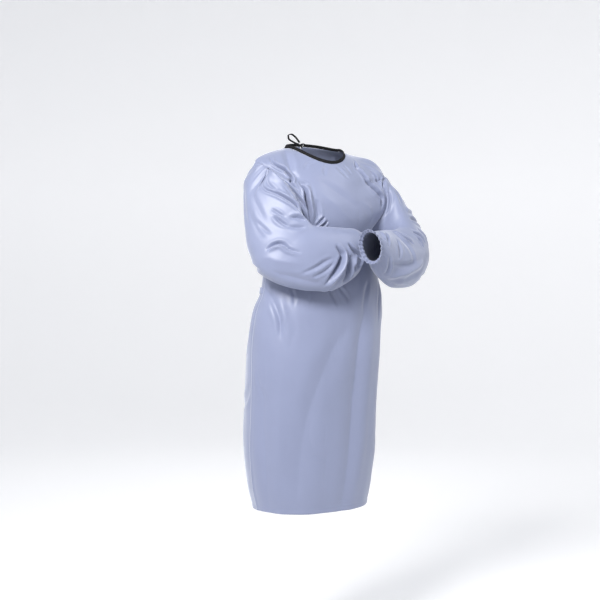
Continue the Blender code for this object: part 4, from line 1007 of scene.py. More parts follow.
def make_tone_group():
    """A colour that is a little uneven over about a tenth of a metre, as dyed and laundered cloth is."""
    inputs = (
        ("Vector", "NodeSocketVector", None),
        ("Colour", "NodeSocketColor", (0.5, 0.5, 0.5, 1.0)),
        ("Tone", "NodeSocketFloat", 1.0),
        ("Amount", "NodeSocketFloat", 0.08),
    )
    outputs = (("Colour", "NodeSocketColor"), ("Mask", "NodeSocketFloat"))
    tree, start, end = new_group("uneven_tone", inputs, outputs)
    broad = noise(tree, start.outputs["Vector"], 9.0, 3.0)
    centred = maths(tree, "SUBTRACT", broad, 0.5)
    gain = maths(tree, "MULTIPLY_ADD", centred, start.outputs["Amount"], 1.0)
    gain = maths(tree, "MULTIPLY", gain, start.outputs["Tone"])
    scaled = tree.nodes.new("ShaderNodeVectorMath")
    scaled.operation = "SCALE"
    tree.links.new(start.outputs["Colour"], scaled.inputs[0])
    tree.links.new(gain, scaled.inputs["Scale"])
    tree.links.new(scaled.outputs[0], end.inputs["Colour"])
    tree.links.new(broad, end.inputs["Mask"])
    return tree


def make_crinkle_group():
    """Fine, soft crinkles: noise folded about its middle, strong in some places and absent in others."""
    inputs = (("Vector", "NodeSocketVector", None), ("Scale", "NodeSocketFloat", 45.0))
    outputs = (("Height", "NodeSocketFloat"),)
    tree, start, end = new_group("crinkles", inputs, outputs)
    fine = noise(tree, start.outputs["Vector"], start.outputs["Scale"], 2.0)
    folded_once = maths(tree, "ABSOLUTE", maths(tree, "SUBTRACT", fine, 0.5))
    where = noise(tree, start.outputs["Vector"], 7.0, 1.0)
    share = maths(tree, "SMOOTH_MAX", maths(tree, "SUBTRACT", where, 0.42), 0.0, 0.1)
    tree.links.new(maths(tree, "MULTIPLY", folded_once, share), end.inputs["Height"])
    return tree


WEAVE = make_weave_group()
TONE = make_tone_group()
CRINKLE = make_crinkle_group()
print("groups:", [tree.name for tree in (WEAVE, TONE, CRINKLE)])

# %% [markdown]
# ## The materials
#
# The cloth is a cool light blue that leans to violet. Sheen stands for the fuzz of fine fibres, which is why
# the folds' edges glow instead of going dark. The binding is black cotton tape with the same weave, coarser
# and duller. The sewing thread is dyed to match the cloth.

# %% Make the materials
MATERIAL_NAMES = ("name", "colour", "roughness", "specular", "sheen", "pitch", "weave", "crinkle", "amount")
MATERIALS = (
    ("gown_weave", (0.206, 0.232, 0.346, 1.0), 0.44, 0.45, 0.45, 0.0006, 0.10, 0.5, 0.10),
    ("tape_weave", (0.006, 0.006, 0.007, 1.0), 0.78, 0.20, 0.02, 0.0008, 0.35, 0.2, 0.30),
    ("sewing_thread", (0.200, 0.226, 0.345, 1.0), 0.70, 0.20, 0.05, 0.0003, 0.30, 0.0, 0.20),
)


def group_node(tree, group, **values):
    """A node that uses a group, with its sockets set or linked."""
    made = tree.nodes.new("ShaderNodeGroup")
    made.node_tree = group
    for socket, value in values.items():
        feed(tree, made, socket, value)
    return made


def make_material(row):
    """A woven material from a row of the table."""
    entry = dict(zip(MATERIAL_NAMES, row))
    material = bpy.data.materials.new(entry["name"])
    material.use_nodes = True
    tree = material.node_tree
    shader = tree.nodes["Principled BSDF"]
    place = tree.nodes.new("ShaderNodeTexCoord")
    weave = group_node(tree, WEAVE, Vector=place.outputs["UV"], Pitch=entry["pitch"])
    tone = group_node(
        tree,
        TONE,
        Vector=place.outputs["Object"],
        Colour=entry["colour"],
        Tone=weave.outputs["Tone"],
        Amount=entry["amount"],
    )
    crinkle = group_node(tree, CRINKLE, Vector=place.outputs["Object"])
    feed(tree, shader, "Base Color", tone.outputs["Colour"])
    shader.inputs["Roughness"].default_value = entry["roughness"]
    shader.inputs["Specular IOR Level"].default_value = entry["specular"]
    shader.inputs["Sheen Weight"].default_value = entry["sheen"]
    shader.inputs["Sheen Roughness"].default_value = 0.45
    shader.inputs["Sheen Tint"].default_value = (0.90, 0.93, 1.0, 1.0)
    coarse = tree.nodes.new("ShaderNodeBump")
    coarse.inputs["Strength"].default_value = entry["crinkle"]
    coarse.inputs["Distance"].default_value = 0.004
    tree.links.new(crinkle.outputs["Height"], coarse.inputs["Height"])
    fine = tree.nodes.new("ShaderNodeBump")
    fine.inputs["Strength"].default_value = entry["weave"]
    fine.inputs["Distance"].default_value = 0.0001
    tree.links.new(weave.outputs["Height"], fine.inputs["Height"])
    tree.links.new(coarse.outputs[0], fine.inputs["Normal"])
    feed(tree, shader, "Normal", fine.outputs[0])
    return material


CLOTH, TAPE, THREAD = (make_material(row) for row in MATERIALS)
print("materials:", CLOTH.name, TAPE.name, THREAD.name)

# %% [markdown]
# ## From points to cloth
#
# A grid of points becomes quads, and Solidify gives them a wall about 1 mm thick to both sides. The UV map is
# measured along the cloth in metres, so the weave has one size everywhere. Hems are two layers thick, and a
# vertex group says where.

# %% Make a shell from a grid
CLOTH_WALL = 0.0010


def to_edges(points, closed):
    """How far each point of a grid is from its row's start and from its first row, along the cloth."""
    wide = np.concatenate([points, points[:, :1]], axis=1) if closed else points
    across_steps = np.linalg.norm(np.diff(wide, axis=1), axis=-1)
    across = np.concatenate([np.zeros((len(wide), 1)), np.cumsum(across_steps, axis=1)], axis=1)
    down_steps = np.linalg.norm(np.diff(wide, axis=0), axis=-1).mean(axis=1)
    down = np.concatenate([[0.0], np.cumsum(down_steps)])
    return across, np.repeat(down[:, None], wide.shape[1], axis=1)


def above_last_row(points):
    """How far each point of a grid is from its last row, along the cloth."""
    steps = np.linalg.norm(np.diff(points[::-1], axis=0), axis=-1)
    return np.concatenate([np.zeros((1, points.shape[1])), np.cumsum(steps, axis=0)])[::-1]


def quads_of(rows, count, closed):
    """The faces of a grid of points, turned so that they face out."""
    number = np.arange(rows * count).reshape(rows, count)
    if closed:
        number = np.concatenate([number, number[:, :1]], axis=1)
    corners = (number[:-1, :-1], number[1:, :-1], number[1:, 1:], number[:-1, 1:])
    return np.stack(corners, axis=-1).reshape(-1, 4)


def finish_piece(made, material, slot, nodes):
    """Link a piece, give it its material, and tell the frame what it stands for."""
    bpy.context.scene.collection.objects.link(made)
    made.data.materials.append(material)
    made.data.shade_smooth()
    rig.ride(made, "root")
    if nodes:
        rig.replaces(made, *nodes)
    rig.slot(made, slot)
    return made


def cloth_piece(name, points, closed, wall, thick=None):
    """A shell of the gown's cloth that takes the place of the CAD node of that name."""
    rows, count = points.shape[:2]
    mesh = bpy.data.meshes.new(name)
    mesh.from_pydata(points.reshape(-1, 3).tolist(), [], quads_of(rows, count, closed).tolist())
    across, down = to_edges(points, closed)
    uv = np.stack([across - across[:, -1:] / 2, down], axis=-1).reshape(-1, 2)
    wide = quads_of(rows, across.shape[1], False)
    mesh.uv_layers.new(name="metres").data.foreach_set("uv", uv[wide].ravel())
    made = bpy.data.objects.new(name + "_cloth", mesh)
    solid = made.modifiers.new("wall", "SOLIDIFY")
    solid.thickness = wall
    solid.offset = 0.0
    if thick is not None:
        group = made.vertex_groups.new(name="thick")
        solid.thickness = wall * thick.max()
        for value in np.unique(thick):
            chosen = np.where(thick.reshape(-1) == value)[0]
            group.add(chosen.tolist(), float(value / thick.max()), "REPLACE")
        solid.vertex_group = "thick"
    return finish_piece(made, CLOTH, "gown_cloth", [name])


print("wall:", CLOTH_WALL * 1000, "mm")

# %% [markdown]
# ## Stitches
#
# Every seam, hem and channel of the gown is held by a row of short stitches. Each one is a tiny spindle that
# lies along its line and stands slightly proud of the cloth. All of a panel's stitches are one piece, so they
# can be taken away or recoloured at once.

# %% Lay stitches along lines
STITCH_LONG = 0.0028
STITCH_GAP = 0.0013
STITCH_HALF = 0.00036  # half a thread's thickness
SPINDLE = ((0, 1, 2), (0, 2, 3), (0, 3, 4), (0, 4, 1), (5, 2, 1), (5, 3, 2), (5, 4, 3), (5, 1, 4))


def along_line(line, places):
    """Points of a line at given lengths along it."""
    far = lengths(line)
    return np.stack([np.interp(places, far, line[:, axis]) for axis in range(line.shape[1])], axis=1)


def spindles(line, outward, height):
    """The corners of stitches along a line: first end, four round the middle, last end."""
    total = lengths(line)[-1]
    count = int(total / (STITCH_LONG + STITCH_GAP))
    middles = (np.arange(count) + 0.5) * total / count
    ways = np.stack([np.interp(middles, lengths(line), outward[:, axis]) for axis in range(3)], axis=1)
    ways /= np.linalg.norm(ways, axis=1, keepdims=True)
    centre = along_line(line, middles) + ways * height
    first = along_line(line, middles - STITCH_LONG / 2) + ways * (height - STITCH_HALF)
    last = along_line(line, middles + STITCH_LONG / 2) + ways * (height - STITCH_HALF)
    side = np.cross(last - first, ways)
    side *= STITCH_HALF / np.linalg.norm(side, axis=1, keepdims=True)
    rise = ways * STITCH_HALF
    return np.stack([first, centre + side, centre + rise, centre - side, centre - rise, last], axis=1)


def stitch_piece(name, lines, height, material, slot):
    """All the stitches of one panel, as one piece."""
    corners = np.concatenate([spindles(line, outward, height) for line, outward in lines])
    base = 6 * np.arange(len(corners))[:, None, None]
    faces = (np.array(SPINDLE)[None] + base).reshape(-1, 3)
    mesh = bpy.data.meshes.new(name)
    mesh.from_pydata(corners.reshape(-1, 3).tolist(), [], faces.tolist())
    mesh.uv_layers.new(name="metres")
    made = bpy.data.objects.new(name, mesh)
    print(name, len(corners))
    return finish_piece(made, material, slot, [])


def line_in(points, closed, column_at):
    """The line through a grid at a place in each row, given as a number of columns that may be a fraction."""
    rows = np.arange(len(points))
    left = np.clip(np.floor(column_at).astype(int), 0, points.shape[1] - 2)
    share = (column_at - left)[:, None]
    line = points[rows, left] * (1 - share) + points[rows, left + 1] * share
    outward = normals_of(points, closed)[rows, left]
    return line, outward


def beside_edge(points, first, last, edge, distance):
    """The line at a distance from a panel's first (0) or last (-1) column, over some of its rows."""
    across, _ = to_edges(points, False)
    columns = np.arange(points.shape[1])
    wanted = np.array([distance if edge == 0 else row[-1] - distance for row in across])
    column_at = np.array([np.interp(w, row, columns) for w, row in zip(wanted, across)])
    line, outward = line_in(points, False, column_at)
    return line[first:last], outward[first:last]


def above_hem(points, closed, distance):
    """The line that runs round a grid at a distance from its last row."""
    rise = above_last_row(points)[::-1]
    rows = np.arange(len(points))[::-1]
    row_at = np.array([np.interp(distance, rise[:, j], rows) for j in range(points.shape[1])])
    turned = np.swapaxes(points, 0, 1)
    line, _ = line_in(turned, False, row_at)
    outward = normals_of(points, closed)[np.round(row_at).astype(int), np.arange(points.shape[1])]
    return line, outward


print("stitches per metre:", round(1 / (STITCH_LONG + STITCH_GAP)))

# %% [markdown]
# ## Finishing the body's panels
#
# Three things happen to a panel after its folds are pressed. Soft swellings and a few fine creases are added,
# taller in the skirt, where the cloth hangs free. Everything fades out within a finger's breadth of a seam,
# because there the cloth is sewn to its neighbour and can't wander. The bottom edge is turned up twice into a
# hem.

# %% Give a panel its surface
SEAM_EASE = 0.013  # how far from a seam the folds come back
NECK_EASE = 0.008
HEM = 0.012
HEM_RISE = 0.00055
HEM_GROOVE = 0.00045
HEM_SOFT = 0.002  # over how much cloth the turned-up edge rises
HEM_STITCH_IN = 0.0015
GROOVE_HALF = 0.0016
HEM_LAYERS = 1.7  # how thick the hem is, in walls
HEM_SECTION = 9.9  # above this section no point is part of the hem
DRAPE_NAMES = ("height", "wide", "tall", "shift", "from_down", "full_down")
DRAPES = (
    (0.0030, 0.085, 0.70, 3.1, 5.2, 8.0),
    (0.0010, 0.034, 0.30, 7.7, 5.0, 6.5),
    (0.0011, 0.048, 0.06, 1.3, -1.0, 0.0),
)
CREASE_DEPTH = 0.0008
CREASE_SIZE = (0.050, 0.050, 0.085)


def swelling(points, down):
    """Soft swellings and fine creases of hanging cloth, as a lift."""
    lift = np.zeros(points.shape[:-1])
    for row in DRAPES:
        entry = dict(zip(DRAPE_NAMES, row))
        size = (entry["wide"], entry["wide"], entry["tall"])
        share = ease((down - entry["from_down"]) / (entry["full_down"] - entry["from_down"]))
        lift += entry["height"] * share * soft_noise(points, size, entry["shift"])
    where = ease(soft_noise(points, (0.11, 0.11, 0.16), 5.3) * 1.6)
    return lift - CREASE_DEPTH * where * creases(points, CREASE_SIZE, 2.2)


def seam_share(points, edges):
    """0 at a panel's sewn edges and at the neck, and 1 away from them."""
    across, down = to_edges(points, False)
    share = ease(down / NECK_EASE)
    if 0 in edges:
        share = share * ease(across / SEAM_EASE)
    if -1 in edges:
        share = share * ease((across[:, -1:] - across) / SEAM_EASE)
    return share


def hem_lift(points, down):
    """The turned-up hem and the groove of its stitching."""
    rise = above_last_row(points)
    turned_up = HEM_RISE * ease((HEM + HEM_SOFT / 2 - rise) / HEM_SOFT)
    groove = HEM_GROOVE * np.exp(-(((rise - HEM + HEM_STITCH_IN) / GROOVE_HALF) ** 2))
    return np.where(down > HEM_SECTION, turned_up - groove, 0.0)


def finished(points_at, down, across, folds, facing, edges):
    """A panel's finished surface."""
    points = points_at(down, across)
    lift = fold_lift(points, points_at, folds, facing) + swelling(points, down)
    points = points + normals_of(points, False) * (lift * seam_share(points, edges))[..., None]
    return points


def hemmed(points, down):
    """A panel with its hem."""
    return points + normals_of(points, False) * hem_lift(points, down)[..., None]


def hem_walls(points):
    """How many layers thick a panel is at each point."""
    rise = above_last_row(points)
    return np.where(rise < HEM, HEM_LAYERS, 1.0)


print("hem:", HEM * 1000, "mm")

# %% [markdown]
# ## The front
#
# The front is cut as one piece. At the shoulders and down the sides it lies over the back's edge, so it
# covers the seam.

# %% Build the front
FRONT_COLUMNS = 196
ends = np.ones(len(body_rows))
front_down, front_across = panel(front_points, body_rows, -ends, ends, FRONT_COLUMNS)
front_grid = finished(front_points, front_down, front_across, FRONT_FOLDS, 1, (0, -1))
front_grid = hemmed(front_grid, front_down)
front = cloth_piece("front_panel", front_grid, False, CLOTH_WALL, hem_walls(front_grid))
print("front:", front_grid.shape)

# %% [markdown]
# ## The backs
#
# The two backs overlap down the middle, left over right, and the gown opens there. Both are pressed with the
# same folds, because cloth that lies on cloth takes its shape. Along the seams each back runs on 4 mm under
# the front's edge, as a seam allowance does.

# %% Build the backs
BACK_COLUMNS = 104
OVERLAP_GAP = 0.0030  # between the middles of the two walls where one back lies on the other
OVERLAP_STARTS = 0.005
OVERLAP_FULL = 0.008
OVERLAP_EASE = 0.03
ALLOWANCE = 0.004
ALLOWANCE_SINK = 0.0009
ALLOWANCE_SOFT = 0.005


def under_layer(points, rows):
    """The right back moved in where the left one lies on it."""
    past = read(BACK_NAMES, BACK_SECTIONS, "past", rows)[:, None]
    depth = OVERLAP_GAP * np.clip((past + OVERLAP_STARTS) / OVERLAP_FULL, 0, 1)
    across = points[..., 0] - read(LEAN_NAMES, LEAN, "x", rows)[:, None]
    share = ease((across + past + OVERLAP_EASE) / OVERLAP_EASE)
    return points - normals_of(points, False) * (depth * share)[..., None]


def allowance(points, rows, edge):
    """A back whose sewn edge runs on beneath the front's."""
    moved = points.copy()
    across, _ = to_edges(points, False)
    away = across if edge == 0 else across[:, -1:] - across
    sewn = (rows <= SHOULDER_TIP) | (rows >= UNDERARM)
    sink = ALLOWANCE_SINK * np.exp(-((away / ALLOWANCE_SOFT) ** 2)) * sewn[:, None]
    moved -= normals_of(points, False) * sink[..., None]
    beside = 1 if edge == 0 else -2
    outward = points[:, edge] - points[:, beside]
    outward /= np.linalg.norm(outward, axis=-1, keepdims=True)
    moved[:, edge] += outward * (ALLOWANCE * sewn)[:, None]
    return moved


def back_surface(rows, start, stop, count, edges):
    """The back's finished surface between two places across each row."""
    down, across = panel(back_points, rows, start, stop, count)
    return finished(back_points, down, across, BACK_FOLDS, -1, edges), down


left_grid, left_down = back_surface(body_rows, ends, centre_back(body_rows, 1), BACK_COLUMNS, (0,))
left_grid = allowance(hemmed(left_grid, left_down), body_rows, 0)
right_grid, right_down = back_surface(body_rows, centre_back(body_rows, -1), -ends, BACK_COLUMNS, (-1,))
right_grid = hemmed(under_layer(right_grid, body_rows), right_down)
right_grid = allowance(right_grid, body_rows, -1)
back_left = cloth_piece("back_left_panel", left_grid, False, CLOTH_WALL, hem_walls(left_grid))
back_right = cloth_piece("back_right_panel", right_grid, False, CLOTH_WALL, hem_walls(right_grid))
print("backs:", left_grid.shape, right_grid.shape)

# %% [markdown]
# ## Cloth that lies on cloth
#
# The sleeves rest on the chest, and the left forearm rests on the right one. A sleeve's points that come too
# near what lies below are moved out along its surface's own direction. The moves are then smoothed, so the
# sleeve doesn't copy every small crease beneath it.

# %% Keep one surface off another
RESTING_GAP = 0.0024
NEARBY = 0.008
NEIGHBOURS = 4
MOVE_PASSES = 3


def resting_surface(*grids):
    """The points and outward directions of finished grids, with a tree to find them by."""
    places = np.concatenate([points.reshape(-1, 3) for points, closed in grids])
    ways = np.concatenate([normals_of(points, closed).reshape(-1, 3) for points, closed in grids])
    tree = KDTree(len(places))
    for index, place in enumerate(places):
        tree.insert(place, index)
    tree.balance()
    return tree, places, ways


def blurred(moves):
    """Moves averaged with those of their neighbours, round a closed grid."""
    padded = np.concatenate([moves[:1], moves, moves[-1:]])
    tall = (padded[:-2] + 2 * padded[1:-1] + padded[2:]) / 4
    return (np.roll(tall, 1, axis=1) + 2 * tall + np.roll(tall, -1, axis=1)) / 4


def kept_off(points, resting, gap):
    """A closed grid of points, moved out of what it rests on."""
    tree, places, ways = resting
    moves = np.zeros(points.shape)
    flat = moves.reshape(-1, 3)
    for index, point in enumerate(points.reshape(-1, 3)):
        found = [near for _, near, _ in tree.find_n(point, NEIGHBOURS)]
        way = ways[found].mean(axis=0)
        way /= np.linalg.norm(way)
        offset = point - places[found].mean(axis=0)
        height = offset @ way
        aside = np.linalg.norm(offset - height * way)
        if aside < NEARBY and height < gap:
            flat[index] = (gap - height) * way
    for _ in range(MOVE_PASSES):
        soft = blurred(moves)
        longer = np.linalg.norm(moves, axis=-1) > np.linalg.norm(soft, axis=-1)
        moves = np.where(longer[..., None], 0.5 * (moves + soft), soft)
    return points + moves


body = resting_surface((front_grid, False), (left_grid, False), (right_grid, False))
print("points to rest on:", len(body[1]))

# %% [markdown]
# ## Gathered wrists
#
# Elastic draws each wrist in. Gathers are never even: some run far up the sleeve, others die at once, and the
# elastic bunches more on one side. So their spacing, height and length all vary round the wrist, by slow
# waves that close on themselves.

# %% Gather a wrist
GATHER_COUNT = 21
GATHER_HEIGHT = 0.0017
GATHER_REACH = 1.7
CHANNEL = 0.22  # sections to each side of the elastic's line that its channel takes


def gathers(round_it, along, elastic, shift):
    """The lift of the gathers at a wrist."""
    turn = 2 * math.pi * round_it
    warp = 0.75 * np.sin(2 * turn + shift) + 0.45 * np.sin(3 * turn + 2.3 * shift)
    uneven = 0.78 + 0.22 * np.sin(5 * turn + 1.7 * shift) * np.sin(2 * turn + 0.6)
    reach = GATHER_REACH * (0.62 + 0.38 * np.sin(7 * turn + 3.1 * shift))
    strength = ease((along - elastic + reach) / reach)
    held = 1 - 0.35 * np.exp(-(((along - elastic) / CHANNEL) ** 2))
    return GATHER_HEIGHT * uneven * strength * held * np.cos(GATHER_COUNT * turn + warp)


print("gathers at each wrist:", GATHER_COUNT)

# %% [markdown]
# ## The sleeves
#
# A sleeve's head is sewn under the edge of the armhole, so the first rows run in beneath the panels. Small
# puckers follow that seam, because a sleeve's head is longer than the hole that it is eased into.

# %% Build the sleeves
SLEEVE_COLUMNS = 168
ARM_ROWS = 168
WRIST_ROWS = 52
HEAD_SINK = 0.0012
HEAD_IN = 0.0045
HEAD_SOFT = 0.004
PUCKER = 0.00045
PUCKER_PITCH = 0.0095
PUCKER_REACH = 0.011
PUCKER_START = 0.002
SLEEVE_SWELL = ((0.0015, 0.055, 4.4), (0.0006, 0.024, 9.1))
SLEEVE_CREASE = 0.0009
FRILL_RISE = 0.0008


def sleeve_surface(table, side, folds, elastic, shift):
    """A sleeve's surface before it is kept off what it rests on."""
    points_at = sleeve_points(table, side)
    end = table[-1][0]
    finer = elastic - GATHER_REACH
    upper = sleeve_rows(points_at, 0.0, finer, ARM_ROWS)
    lower = sleeve_rows(points_at, finer, end, WRIST_ROWS + 1)[1:]
    along = np.concatenate([upper, lower])
    count = SLEEVE_COLUMNS
    along_grid = np.repeat(along[:, None], count, axis=1)
    round_grid = np.repeat(side * np.arange(count)[None] / count, len(along), axis=0)
    points = points_at(along_grid, round_grid)
    across, down = to_edges(points, True)
    across, down = across[:, :-1], down[:, :-1]
    lift = fold_lift(points, points_at, folds, side)
    for height, size, start in SLEEVE_SWELL:
        lift += height * soft_noise(points, (size, size, size), start)
    where = ease(soft_noise(points, (0.09, 0.09, 0.09), 6.1) * 1.6)
    lift -= SLEEVE_CREASE * where * creases(points, (0.055, 0.045, 0.04), 8.4)
    lift *= ease(down / SEAM_EASE)
    pucker = np.sin(2 * math.pi * across / PUCKER_PITCH + 2.5 * soft_noise(points, (0.03, 0.03, 0.03)))
    lift += PUCKER * pucker * np.exp(-((down / PUCKER_REACH) ** 2)) * ease(down / PUCKER_START)
    lift += gathers(round_grid, along_grid, elastic, shift)
    lift += FRILL_RISE * ease((along_grid - elastic - CHANNEL / 2) / 0.12)
    return points + normals_of(points, True) * lift[..., None]


def set_in(points):
    """A sleeve with its head sewn in under the edge of the armhole."""
    tree, _, ways = body
    ring = points[0]
    way = np.stack([ways[tree.find(point)[1]] for point in ring])
    heading = points[2] - ring
    heading /= np.linalg.norm(heading, axis=1, keepdims=True)
    inward = -heading + np.einsum("ij,ij->i", heading, way)[:, None] * way
    inward /= np.linalg.norm(inward, axis=1, keepdims=True)
    _, down = to_edges(points, True)
    sink = HEAD_SINK * np.exp(-((down[:, :-1] / HEAD_SOFT) ** 2))
    moved = points - way[None] * sink[..., None]
    tucked = ring + inward * HEAD_IN - way * HEAD_SINK
    return np.concatenate([tucked[None], moved])


def build_sleeve(name, table, side, folds, elastic, shift, rests_on):
    """One sleeve as a shell, and its grid."""
    points = sleeve_surface(table, side, folds, elastic, shift)
    for resting in rests_on:
        points = kept_off(points, resting, RESTING_GAP)
    points = set_in(points)
    return cloth_piece(name, points, True, 0.9 * CLOTH_WALL), points


sleeve_right, right_sleeve_grid = build_sleeve(
    "sleeve_right", RIGHT_SLEEVE, -1, RIGHT_SLEEVE_FOLDS, RIGHT_ELASTIC, 0.7, [body]
)
beneath = resting_surface((right_sleeve_grid, True))
sleeve_left, left_sleeve_grid = build_sleeve(
    "sleeve_left", LEFT_SLEEVE, 1, LEFT_SLEEVE_FOLDS, LEFT_ELASTIC, 2.1, [body, beneath]
)
print("sleeves:", right_sleeve_grid.shape, left_sleeve_grid.shape)

# %% [markdown]
# ## The neck binding
#
# A strip of bias tape is folded over the raw neck edge and sewn down, so the band is thickest along its upper
# fold and pinched at its stitches. Because bias tape is stretched round a curve, it never lies quite flat.

# %% Build the neck binding
BINDING_COLUMNS = 300
BINDING_WIDTH = 0.0088
BINDING_RISE = 0.55
BINDING_BELOW = 0.25
BINDING_START = 0.0008  # above the panels' edge
BINDING_RIPPLE = 0.00035
BINDING_STITCH_UP = 0.16  # where up the band it is stitched, as a share of its width
BINDING_STITCH_HEIGHT = 0.0009
BAND_NAMES = ("up", "half")
BAND = (
    (0.0, 0.0007),
    (0.10, 0.0011),
    (0.17, 0.0008),
    (0.26, 0.0012),
    (0.6, 0.00125),
    (0.88, 0.0013),
    (1.0, 0.0008),
)
BAND_STEPS = 12


def neck_line(down, count):
    """Points round the neck at a section near it, from the middle of the back round the left side."""
    left = centre_back(np.array([down]), 1)[0]
    fine = LINE_STEPS
    line = np.concatenate(
        [
            back_points(np.full(fine, down), np.linspace(left, 1.0, fine)),
            front_points(np.full(2 * fine, down), np.linspace(1.0, -1.0, 2 * fine)),
            back_points(np.full(fine, down), np.linspace(-1.0, -left, fine)),
        ]
    )
    return along_line(line, np.linspace(0, lengths(line)[-1], count))


def band_ring(middle, way, outward, width, shape_names, shape):
    """Closed sections of a band: up its outer face and down its inner one."""
    up = np.linspace(0, 1, BAND_STEPS)
    half = read(shape_names, shape, "half", up)
    outer = middle[:, None] + way[:, None] * (width * up)[None, :, None]
    lift = outward[:, None] * half[None, :, None]
    return np.concatenate([outer + lift, (outer - lift)[:, ::-1]], axis=1)


def tube_piece(name, rings, material, slot, nodes):
    """A closed tube of cloth made from its sections, with a face at each end."""
    rows, count = rings.shape[:2]
    faces = quads_of(rows, count, True).tolist()
    faces.append(list(range(count)))
    faces.append(list(range((rows - 1) * count, rows * count))[::-1])
    mesh = bpy.data.meshes.new(name)
    mesh.from_pydata(rings.reshape(-1, 3).tolist(), [], faces)
    across, down = to_edges(rings, True)
    uv = np.stack([across, down], axis=-1).reshape(-1, 2)
    wide = quads_of(rows, count + 1, False).ravel()
    flat = np.concatenate([uv[wide], np.zeros((2 * count, 2))])
    mesh.uv_layers.new(name="metres").data.foreach_set("uv", flat.ravel())
    made = bpy.data.objects.new(name, mesh)
    return finish_piece(made, material, slot, nodes)


def ring_turned_out(rings):
    """Sections in the order that makes a tube's faces point out."""
    centre = rings[0].mean(axis=0)
    ahead = rings[1].mean(axis=0) - centre
    spread = rings[0] - centre
    turning = np.cross(spread, np.roll(spread, -1, axis=0)).sum(axis=0) @ ahead
    return rings[:, ::-1] if turning > 0 else rings


edge = neck_line(0.0, BINDING_COLUMNS)
below = neck_line(BINDING_BELOW, BINDING_COLUMNS)
way = edge - below
way /= np.linalg.norm(way, axis=1, keepdims=True)
way = (1 - BINDING_RISE) * way + BINDING_RISE * np.array([0.0, 0.0, 1.0])
way /= np.linalg.norm(way, axis=1, keepdims=True)
run = np.gradient(edge, axis=0)
outward = np.cross(way, run)
outward /= np.linalg.norm(outward, axis=1, keepdims=True)
outward *= np.sign(np.einsum("ij,ij->i", outward, edge - edge.mean(axis=0)))[:, None]
ripple = BINDING_RIPPLE * soft_noise(edge, (0.011, 0.011, 0.011), 4.0)
binding_rings = band_ring(
    edge + way * BINDING_START + outward * ripple[:, None], way, outward, BINDING_WIDTH, BAND_NAMES, BAND
)
binding_rings = ring_turned_out(binding_rings)
binding = tube_piece("binding", binding_rings, TAPE, "neck_tape", ["neck_binding"])
stitch_line = edge + way * (BINDING_START + BINDING_STITCH_UP * BINDING_WIDTH)
print("binding:", round(float(lengths(edge)[-1]), 3), "m long")

# %% [markdown]
# ## The neck tie
#
# The binding's two ends are tied in a bow at the nape. One loop stands up beside the neck and shows in the
# photograph as a small black curl. The tape is flat, so each loop turns about its broad side, and its edges
# are slightly rounded where the tape is folded.

# %% Build the bow at the nape
NECK_KNOT = (0.0, 0.0745, 0.0195)
NECK_LOOP_RIGHT = (
    (-0.0050, 0.0035, 0.0020),
    (-0.0200, 0.0080, 0.0080),
    (-0.0350, 0.0120, 0.0180),
    (-0.0360, 0.0130, 0.0280),
    (-0.0270, 0.0110, 0.0310),
    (-0.0150, 0.0080, 0.0230),
    (-0.0035, 0.0035, 0.0070),
)
NECK_LOOP_LEFT = (
    (0.0052, 0.0050, 0.0030),
    (0.0180, 0.0130, 0.0050),
    (0.0340, 0.0210, -0.0010),
    (0.0400, 0.0250, -0.0100),
    (0.0330, 0.0250, -0.0150),
    (0.0180, 0.0190, -0.0090),
    (0.0060, 0.0100, -0.0010),
)
NECK_END_RIGHT = (
    (-0.0040, -0.0066, 0.0046),
    (-0.0090, -0.0200, 0.0042),
    (-0.0150, -0.0500, 0.0038),
    (-0.0200, -0.0900, 0.0036),
    (-0.0160, -0.1300, 0.0036),
)
NECK_END_LEFT = (
    (0.0042, -0.0066, 0.0046),
    (0.0100, -0.0220, 0.0042),
    (0.0170, -0.0520, 0.0038),
    (0.0150, -0.0850, 0.0036),
    (0.0210, -0.1150, 0.0036),
)
NECK_LOOP_RIGHT_BROAD = (-0.25, 0.90, -0.35)
NECK_LOOP_LEFT_BROAD = (0.10, 0.90, 0.43)
TAPE_WIDTH = 0.0065
TAPE_WALL = 0.0016
TAPE_STEPS = 90
ROUND_STEPS = 18
TAPE_CURL = 0.12  # how far a tape's edges curl, as a share of its width
TAPE_SQUARE = 0.35  # how square a tape's section is: 1 is an ellipse


def smooth_line(points, count):
    """count points along a smooth curve through a few."""
    points = np.array(points)
    return through(np.arange(len(points)), points, np.linspace(0, len(points) - 1, count))


def tape_rings(path, broad, width, wall):
    """Rounded flat sections along a path."""
    ahead = np.gradient(path, axis=0)
    ahead /= np.linalg.norm(ahead, axis=1, keepdims=True)
    broad = np.broadcast_to(broad, path.shape)
    broad = broad - np.einsum("ij,ij->i", broad, ahead)[:, None] * ahead
    broad = broad / np.linalg.norm(broad, axis=1, keepdims=True)
    thin = np.cross(ahead, broad)
    turn = np.arange(ROUND_STEPS) / ROUND_STEPS * 2 * math.pi
    wide = np.sign(np.cos(turn)) * np.abs(np.cos(turn)) ** TAPE_SQUARE * width / 2
    high = np.sign(np.sin(turn)) * np.abs(np.sin(turn)) ** (2 * TAPE_SQUARE) * wall / 2
    wander = soft_noise(path, (0.03, 0.03, 0.03), 2.0)[:, None]
    curl = TAPE_CURL * width * (np.abs(wide) / (width / 2)) ** 2 * wander
    section = broad[:, None] * wide[None, :, None] + thin[:, None] * (high[None] + curl)[..., None]
    return ring_turned_out(path[:, None] + section)


def tape_piece(name, path, broad, width, wall, material, slot, nodes):
    """A flat tape along a path."""
    return tube_piece(name, tape_rings(path, np.array(broad), width, wall), material, slot, nodes)


